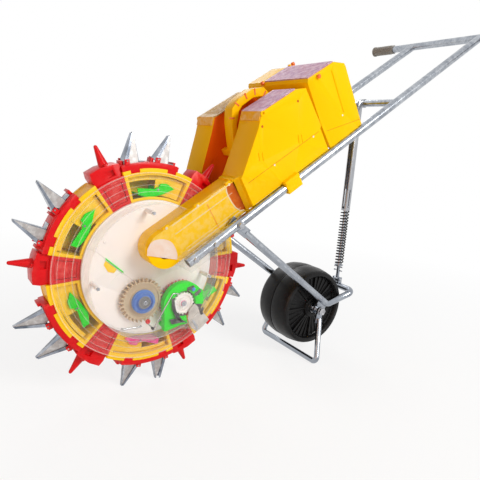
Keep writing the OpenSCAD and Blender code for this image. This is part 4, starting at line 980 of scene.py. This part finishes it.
def disc_details():
    """Panel, guides, marks and stops on the near face of the core disc."""
    ledge = [(-103.9, 36.5), (-80, 16.6), (-55, -4.2), (-29.5, -25.4), (10, -22), (60, -4)]
    panel = arc(PANEL_R, 8, 160, 38) + circle_cut(ledge, PANEL_R)
    slab("disc_panel", panel, -31.1, -29.9, "white", "frame", bevel=0.0004)
    strip = [(-88.9, 26.4), (-87.4, 22.6), (-54.2, -4.9), (-55.6, -1.2)]
    slab("ledge_strip", strip, -33.0, -30.0, "green", "frame")
    guide = [(-91.2, 13.0), (-88.0, 20.5), (-66.5, 3.2), (-72.0, -3.4), (-82.6, -0.6)]
    slab("seed_guide", guide, -30.9, -30.0, "ring_yellow", "frame")
    edge = [(-60.4, -2.3), (-61.6, -3.6), (-76.4, -22.6), (-77.2, -21.4), (-75.7, -19.7)]
    slab("disc_window_edge", edge, -30.8, -30.0, "white", "frame", bevel=0.0002)
    for name, r, a, size in (("disc_mark_top", 110.3, 97.6, 3.0), ("disc_mark_side", 105.7, 149.0, 2.6)):
        mark = [(size, 0), (size, 1.6), (size - 0.6, 2.0), (size - 0.9, 1.4), (0, 1.4)]
        turned(name, mark, ring_point(r, a, -31.0), NEAR, "white", "frame", 32)
    stop = [(4.4, 0), (4.4, 3), (3.6, 4), (1.8, 4), (1.8, 3), (0, 3)]
    turned("red_stop", stop, level(-12, -54, -95), NEAR, "red", "frame", 32)
    wire = [(0, 0), (2.2, 0.4), (2.6, 2), (2.6, 6), (1.8, 7), (0, 7)]
    turned("wire_end", wire, level(-4, -57, -108), NEAR, "dark", "frame", 24)


def shaft_face(node, x, z):
    """The near face of a wheel on a shaft that lies x and z metres from the ring axis."""
    low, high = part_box(node)
    return Vector((AXIS.x + x, low[1], AXIS.z + z))


def gear_details():
    """Knurl, hubs, screw and dots on the near faces of the clutch ring and the seed disc."""
    face = shaft_face("clutch_ring", -0.018520, -0.058383)
    comb(
        "clutch_knurl", "drive", "clutch", face + Vector((0, 0.0006, 0)), "blue", Count=40, Radius=0.0186,
        Width=0.0012, Depth=0.0016, Length=0.0046,
    )
    hub = [(12.2, 0), (12.2, 1.2), (11.4, 1.8), (9.8, 1.8), (9.2, 1.0), (7.0, 1.0), (6.8, 2.4), (0, 2.4)]
    turned("clutch_hub", hub, face, NEAR, "grey", "drive")
    screws("clutch_screw", "drive", "screws", [(face + Vector((0, -0.0024, 0)), NEAR)], 0.0042, 0.002)
    face = shaft_face("seed_disc", 0.060909, -0.067925)
    hub = [(6.0, 0), (6.0, 0.8), (5.2, 1.2), (3.4, 1.2), (3.2, 0.6), (0, 0.6)]
    turned("seed_disc_hub", hub, face, NEAR, "pink", "metering", 40)
    comb(
        "seed_disc_dots", "metering", "seed_disc", face + Vector((0, -0.0001, 0)), "white", Count=12,
        Radius=0.0125, Width=0.0018, Depth=0.0012, Length=0.0018,
    )


def metering_details():
    """White arm, black pads and the pin of the metering unit."""
    arm = [
        (72, -80), (82.6, -69.2), (91.7, -77.8), (99, -85), (119.6, -107.7), (106.2, -120), (92.9, -129.8),
        (81, -121), (75.1, -113.2), (70, -98),
    ]
    slot = [(79, -103), (84, -104), (96, -122), (92, -125)]
    block = [(91.5, -79.5), (96, -77.5), (104.6, -92.6), (99, -95.1)]
    recess = [
        (35.4, -51.7), (42.1, -78.6), (55.9, -98.3), (69.4, -106.3), (56.4, -104.4), (43.2, -93.4),
        (34.4, -77.6), (30.9, -54.0),
    ]
    foot = [(29.5, -94.5), (52.6, -94.8), (56.4, -104.4), (34.7, -105.5)]
    slab("metering_arm", arm, -61.2, -59.4, "grey_white", "frame", bevel=0.0004)
    slab("arm_slot", slot, -61.7, -61.1, "bright", "frame", bevel=0.0)
    slab("arm_block", block, -61.9, -61.1, "dark", "frame", bevel=0.0)
    # The dark sheet over the housing's recess is painted shade.
    slab("housing_recess", recess, -62.5, -61.9, "dark", "frame", bevel=0.0)
    slab("housing_foot", foot, -62.5, -61.9, "dark", "frame", bevel=0.0)
    for name, x, z, w, h in (("pad_top", 72.4, -37.3, 7, 5), ("pad_side", 99.5, -86.0, 5, 6)):
        pad = [(x - w, z - h), (x + w, z - h * 0.4), (x + w, z + h), (x - w, z + h * 0.4)]
        slab(name, pad, -60.6, -57.5, "dark", "frame", bevel=0.0005)
    pin = [(4.0, 0), (4.0, 1.6), (3.0, 2.6), (0, 2.8)]
    turned("metering_pin", pin, level(78.1, -59.6, -39.9), NEAR, "blue", "frame", 32)


# Details of the chutes, hoppers and lids

SIDES = ((-1, "near"), (1, "far"))
# Outer faces of the chutes and of their collars, and the mould seams' place on the hoppers, in millimetres
# from the middle.
CHUTE_SKIN = 79.6
COLLAR_SKIN = 79.9
SEAM_SKIN = 1000 * BOX_SIDE + 0.05


def chute_details():
    """Ribs, seam, collar, panes and screws of each seed chute; painted highlights on the ribs and the lip,
    painted shade in the inlet.
    """
    foot = [
        (38.1, 8.2), (-5.1, 50.3), (-3, 52.5), (0, 58), (5, 62), (11, 65.2), (17, 66.2), (23.5, 64.6),
        (29.5, 61.5), (35, 57.6), (40, 52.5), (44, 46.5), (46.2, 40), (46.4, 33), (45.6, 25), (43, 15.5),
        (40.2, 10.4),
    ]
    inner = [(190.5, 66), (188.2, 60), (187.4, 51), (189, 34), (191.4, 22), (197, 11.6), (204, 8.2)]
    inlet = [(190.5, 66), (194, 68.2), (206.6, 68), (211, 8)] + inner[:0:-1]
    outer = [(205, 5.4), (196, 9.4), (189.2, 20.8), (186.4, 34), (184.8, 51), (185.6, 61), (188.4, 67.4)]
    collar = [(209, 5), (224, 7), (226, 76), (209, 73)]
    tabs = ((50, 71), (122, 71), (198, 69))
    for side, label in SIDES:
        face = side * CHUTE_SKIN
        # The ribs stand a little out of the window, and their bright colour is a painted highlight.
        for n, width, start in ((68.6, 2.0, 130), (51.4, 1.5, 128), (8.4, 1.6, 132), (15.0, 0.9, 132)):
            name = "chute_rib_%s_%d" % (label, n)
            bar(name, "window", (start, face, n), (138, 0.9, width), "glint", 0.0003)
        bar("chute_seam_" + label, "yellow", (140, face, 35), (1.0, 0.5, 56), "orange")
        wedge = slab(
            "chute_collar_" + label, collar, side * 97.4, side * COLLAR_SKIN, "yellow", "frame",
            TUBE_FRAME, 0.0,
        )
        # The collar thins out to a wedge at its front end.
        front_end, front_face = 0.215, 0.0812
        for vertex in wedge.data.vertices:
            if (vertex.co - AXIS).dot(ALONG) < front_end:
                vertex.co.y = side * (COLLAR_SKIN / 1000 if abs(vertex.co.y) < 0.085 else front_face)
        # The lip round each inlet is a painted highlight, and the inlet itself a sheet of painted shade.
        for name, outline, half, material, slot in (
            ("chute_lip_", outer + inner, 0.5, "glint", "window"),
            ("chute_pane_", foot, 0.2, "pale", "window"),
            ("chute_inlet_", inlet, 0.25, "inlet", "yellow"),
        ):
            slab(name + label, outline, face - half, face + half, material, "frame", TUBE_FRAME, 0.0)
        places = [(tube_point(x, side * COLLAR_SKIN, n), (0, side, 0)) for x, n in tabs]
        screws("chute_tabs_" + label, "frame", "screws", places, 0.0026, 0.0008, "glint", "edge")


def hopper_details():
    """Orange knobs of the hinges, the catch, the mould seams, the small screws of the hoppers, and painted
    shade for two holes.
    """
    knob = [(4.4, 0), (4.4, 4.6), (3.6, 5.4), (0, 5.4)]
    turned("knob_front", knob, tube_point(438, 40, 163), ALONG * -1, "orange", "frame", 32)
    turned("knob_rear", knob, tube_point(529.5, 40, 163), ALONG, "orange", "frame", 32)
    catch = [(4.2, 0), (4.2, 3.0), (3.2, 3.8), (0, 3.8)]
    turned("lid_catch", catch, tube_point(466, -101, 155.3), NEAR, "orange", "frame", 32)
    seam = [(446, 47.5), (446, 46.9), (544, 22.2), (544, 22.9)]
    for side, label in SIDES:
        face = side * SEAM_SKIN
        bar("hopper_seam_" + label, "yellow", (326, face, 57), (200, 0.3, 0.7), "inlet")
        name = "box_seam_" + label
        slab(name, seam, face - 0.15, face + 0.15, "inlet", "frame", TUBE_FRAME, 0.0)
    places = [(tube_point(s, y, 55), (0, y, 0)) for y in (-99.2, 99.2) for s in (296, 408, 499)]
    screws("seam_screws", "frame", "screws", places, 0.0019, 0.0006, "white", "white")
    # Two heads in the shade colour on the near hopper: painted shade of its two small holes.
    places = [(tube_point(s, -98.4, n), NEAR) for s, n in ((302, 134), (400, 136))]
    screws("hopper_plugs", "frame", "yellow", places, 0.0027, 0.0006, "inlet", "inlet")


def lid_ribs():
    """Fine ribs moulded into the lids."""
    spacing, width, height = (0, 4.4, 0), 0.9, 0.35
    for name, node, start, length, count, material in (
        ("rib_rear", "lid_rear", (478, -93, 165.0), 66, 30, "lid"),
        ("rib_left", "lid_left", (362, -93, 160.7), 80, 13, "lid"),
        ("rib_right", "lid_right", (350, 38, 160.7), 100, 13, "tan_lid"),
    ):
        row(name, node, "lid", start, spacing, (length, width, height), count, material)


def handle_ribs():
    """Cross ribs in the hollow of the carry handle, drawn as thin orange sheets: the orange is painted shade.
    """
    corners = [(-1.6, -5.5), (1.6, -5.5), (1.6, 7.0), (-1.6, 7.0)]
    for name, s, n, turn in (
        ("handle_rib_1", 299, 152, -62), ("handle_rib_2", 322, 170, -30), ("handle_rib_3", 348, 174, 0),
        ("handle_rib_4", 372, 172, 16), ("handle_rib_5", 392, 158, 55),
    ):
        c, d = math.cos(math.radians(turn)), math.sin(math.radians(turn))
        outline = [(s + a * c + b * d, n - a * d + b * c) for a, b in corners]
        slab(name, outline, -14.6, -13.9, "orange", "frame", TUBE_FRAME, 0.0)


# Details of the ring, the covers and the wheel

# The radii in millimetres between which the blocks of the ring stand.
BLOCK_IN, BLOCK_OUT = 136.5, 172.5


def pocket_faces():
    """Inner faces of the ring's blocks, close behind the gates."""
    for k in range(MOUTHS):
        turn = 90 + 360 // MOUTHS * k
        for name, outline, y0, y1 in (
            ("pocket_back_%d", ring_arc(BLOCK_IN, BLOCK_OUT, turn - 2.0, turn + 16.4), 15.6, 16.6),
            ("pocket_face_%d", ring_arc(BLOCK_IN, BLOCK_OUT, turn - 21.6, turn - 1.5), -16.5, -15.5),
            ("pocket_rim_%d", ring_arc(165.0, BLOCK_OUT, turn - 1.7, turn + 16.4), -16.5, -15.5),
        ):
            slab(name % (k + 1), outline, y0, y1, "ring_yellow", "drum", bevel=0.0)
        outline = ring_arc(136.6, 171.4, turn + 22.0, turn + 32.9)
        slab("red_face_%d" % (k + 1), outline, -23.8, -22.6, "red", "drum", bevel=0.0)


def hoop(name, r, y, half, steps=128):
    """A thin painted highlight about the ring axis, with a square section of the given half diagonal."""
    bm = bmesh.new()
    rings = []
    for i in range(steps):
        a = 360.0 * i / steps
        rings.append([
            bm.verts.new(ring_point(r + half * math.cos(b), a, y + half * math.sin(b)))
            for b in (math.radians(45 + 90 * j) for j in range(4))
        ])
    skin(bm, rings + rings[:1])
    seat(drawn(bm, name, "edge", 60), "frame")


# Steps of a clear cover: radius, distance from the middle, and half the diagonal of the square painted
# highlight on its edge, in millimetres.
COVER_STEPS = (
    (179.2, 28.2, 1.2), (169.6, 29.4, 0.6), (157.6, 30.2, 0.6), (145.6, 31.4, 0.9), (127.4, 62.4, 0.9),
)


def cover_highlights():
    """Painted highlights along the edges of the steps in the two clear covers."""
    for side, label in SIDES:
        for r, y, half in COVER_STEPS:
            hoop("cover_edge_%s_%d" % (label, r), r, side * y, half)


# Radius in millimetres and angles in degrees of the posts round the ring axis.
POST_R = 112
POSTS = (98, 190, 352)


def post_sleeves():
    """White posts of the core discs that the cover screws enter."""
    sleeve = [(4.1, 0), (3.7, 27.5), (1.8, 27.5), (1.8, 0)]
    for side, label in SIDES:
        for a in POSTS:
            foot = ring_point(POST_R, a, side * 31)
            name = "post_%s_%d" % (label, a)
            turned(name, sleeve, foot, (0, side, 0), "white", "frame", 28, ring=True)


def wheel_faces():
    """Shallow ribbed faces of the press wheel, laid over its deeper hollows."""
    low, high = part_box("press_wheel")
    half = (high[1] - low[1]) / 2 * 1000
    hub = level(426, 0, -126)
    hub_r, dish_r, rim_r, back = 24, 74, 77.5, half - 12.5
    profile = [(hub_r, half - 9), (dish_r, half - 11), (rim_r, half - 8), (rim_r, back), (hub_r, back)]
    for side, label in SIDES:
        turned("wheel_face_" + label, profile, hub, (0, side, 0), "wheel", "wheel", 96, ring=True)
        ribs = hub + Vector((0, side * (half - 9.6) / 1000, 0))
        comb(
            "wheel_ribs_" + label, "wheel", "wheel", ribs, "wheel", Count=32, Radius=0.051, Width=0.0012,
            Depth=0.0026, Length=0.047,
        )


def beak_cheeks():
    """Tapered side plates that close the fixed halves of the beaks."""
    outline = [(192, -2.0), (192, 12.5), (206, 20.2), (241, 5.2), (246, 2.4), (246, 0.6)]
    # A beak's half width is root_half at root_r, and less by drop over its length. The two faces of a
    # plate lie this far out of the beak's side and into it. The two beaks of a mouth stand this many degrees
    # to either side of its middle.
    root_r, root_half, drop, length = 190, 11, 7.6, 60
    outer, inner = 0.3, -0.8
    half_pair = 8.44
    bm = bmesh.new()
    for k in range(2 * MOUTHS):
        a = math.radians(90 + 360 // MOUTHS * (k // 2) + (half_pair if k % 2 else -half_pair))
        for side in (-1, 1):
            faces = []
            for offset in (outer, inner):
                faces.append([])
                for r, t in outline:
                    y = side * (root_half - drop * (r - root_r) / length + offset)
                    x, z = r * math.cos(a) - t * math.sin(a), r * math.sin(a) + t * math.cos(a)
                    faces[-1].append(bm.verts.new(level(x, y, z)))
            prism(bm, *faces)
    seat(drawn(bm, "beak_cheeks", "cheek"), "drum")


cover_highlights()
post_sleeves()
wheel_faces()
beak_cheeks()
metering_details()
lid_ribs()
handle_ribs()
pocket_faces()
disc_details()
gear_details()
chute_details()
hopper_details()


# Studio

def backdrop_rays(tree):
    """One for the rays that should find a white backdrop: camera, glossy and transmission rays."""
    path = tree.nodes.new("ShaderNodeLightPath")
    seen = math_node(tree, "MAXIMUM", path.outputs["Is Camera Ray"], path.outputs["Is Glossy Ray"])
    return math_node(tree, "MAXIMUM", seen, path.outputs["Is Transmission Ray"])


def pale_floor():
    """A floor that keeps the planter's shadow and fades into the white backdrop away from it."""
    mesh = bpy.data.meshes.new("floor")
    bm = bmesh.new()
    bmesh.ops.create_grid(bm, x_segments=2, y_segments=2, size=6.0)
    bm.to_mesh(mesh)
    bm.free()
    floor = link("floor", mesh)
    mat = bpy.data.materials.new("pale_floor")
    mat.use_nodes = True
    tree = mat.node_tree
    bsdf = tree.nodes["Principled BSDF"]
    bsdf.inputs["Roughness"].default_value = 0.8
    tone = place(
        tree, "mottle", Color=(0.9, 0.9, 0.9, 1), Second_Color=(0.86, 0.86, 0.86, 1), Scale=1.2,
        Contrast=0.6, Fine_Scale=200.0, Fine_Share=0.1,
    )
    tree.links.new(tone.outputs["Color"], bsdf.inputs["Base Color"])
    # Metres from the middle at which the fading starts, its gain from there, and the white share it starts at.
    start, gain, least = 0.35, 0.8, 0.8
    where = tree.nodes.new("ShaderNodeTexCoord")
    reach = tree.nodes.new("ShaderNodeVectorMath")
    reach.operation = "LENGTH"
    tree.links.new(where.outputs["Object"], reach.inputs[0])
    fade = ramp(tree, reach.outputs["Value"], start, gain)
    fade = math_node(tree, "ADD", math_node(tree, "MULTIPLY", fade, 1 - least), least)
    seen = backdrop_rays(tree)
    white = tree.nodes.new("ShaderNodeEmission")
    blend = tree.nodes.new("ShaderNodeMixShader")
    tree.links.new(math_node(tree, "MULTIPLY", fade, seen), blend.inputs[0])
    tree.links.new(bsdf.outputs[0], blend.inputs[1])
    tree.links.new(white.outputs[0], blend.inputs[2])
    tree.links.new(blend.outputs[0], tree.nodes["Material Output"].inputs["Surface"])
    mesh.materials.append(mat)


def white_world():
    """White where it is seen, and weaker where it lights the planter."""
    light = 0.3
    world = bpy.data.worlds.new("studio")
    bpy.context.scene.world = world
    world.use_nodes = True
    tree = world.node_tree
    back = tree.nodes["Background"]
    strength = math_node(tree, "ADD", math_node(tree, "MULTIPLY", backdrop_rays(tree), 1 - light), light)
    back.inputs["Color"].default_value = (1, 1, 1, 1)
    tree.links.new(strength, back.inputs["Strength"])


def lamps():
    """Three square soft lamps that look at the middle of the planter."""
    middle = Vector((0, 0, 0.35))
    for name, place_at, size, power, color in (
        ("key", (0.7, -2.4, 2.0), 1.3, 66, (1, 0.98, 0.94)),
        ("fill", (-2.2, -1.0, 0.8), 1.6, 12, (1, 0.42, 0.14)),
        ("rim", (0.6, 2.2, 2.2), 1.2, 16, (1, 1, 1)),
    ):
        lamp = bpy.data.lights.new(name, "AREA")
        lamp.shape = "SQUARE"
        lamp.size = size
        lamp.energy = power
        lamp.color = color
        obj = bpy.data.objects.new(name, lamp)
        obj.location = place_at
        aim = middle - Vector(place_at)
        obj.rotation_euler = aim.to_track_quat("-Z", "Y").to_euler()
        bpy.context.collection.objects.link(obj)


# The photograph's camera: focal length and frame in pixels, place in millimetres from the ring axis, and
# the directions to its right, its top and its back.
FOCAL_PIXELS = 462.31959
FRAME_PIXELS = 480.0
SENSOR = 36.0
CAMERA_PLACE = (-363.13779, -804.165382, 239.919251)
CAMERA_RIGHT = Vector((0.81627718, -0.56970164, 0.09555949))
CAMERA_UP = Vector((0.03667125, 0.21619661, 0.97566093))
CAMERA_BACK = Vector((-0.57649527, -0.79290546, 0.19736803))


def camera():
    """The camera at the photograph's place and viewing angle."""
    cam = bpy.data.cameras.new("camera")
    cam.sensor_width = SENSOR
    cam.sensor_height = SENSOR
    cam.lens = FOCAL_PIXELS / FRAME_PIXELS * SENSOR
    obj = bpy.data.objects.new("camera", cam)
    turn = Matrix((CAMERA_RIGHT, CAMERA_UP, CAMERA_BACK)).transposed().to_4x4()
    obj.matrix_world = Matrix.Translation(level(*CAMERA_PLACE)) @ turn
    bpy.context.collection.objects.link(obj)
    bpy.context.scene.camera = obj
    bpy.context.scene.view_settings.view_transform = "Standard"


pale_floor()
white_world()
lamps()
camera()
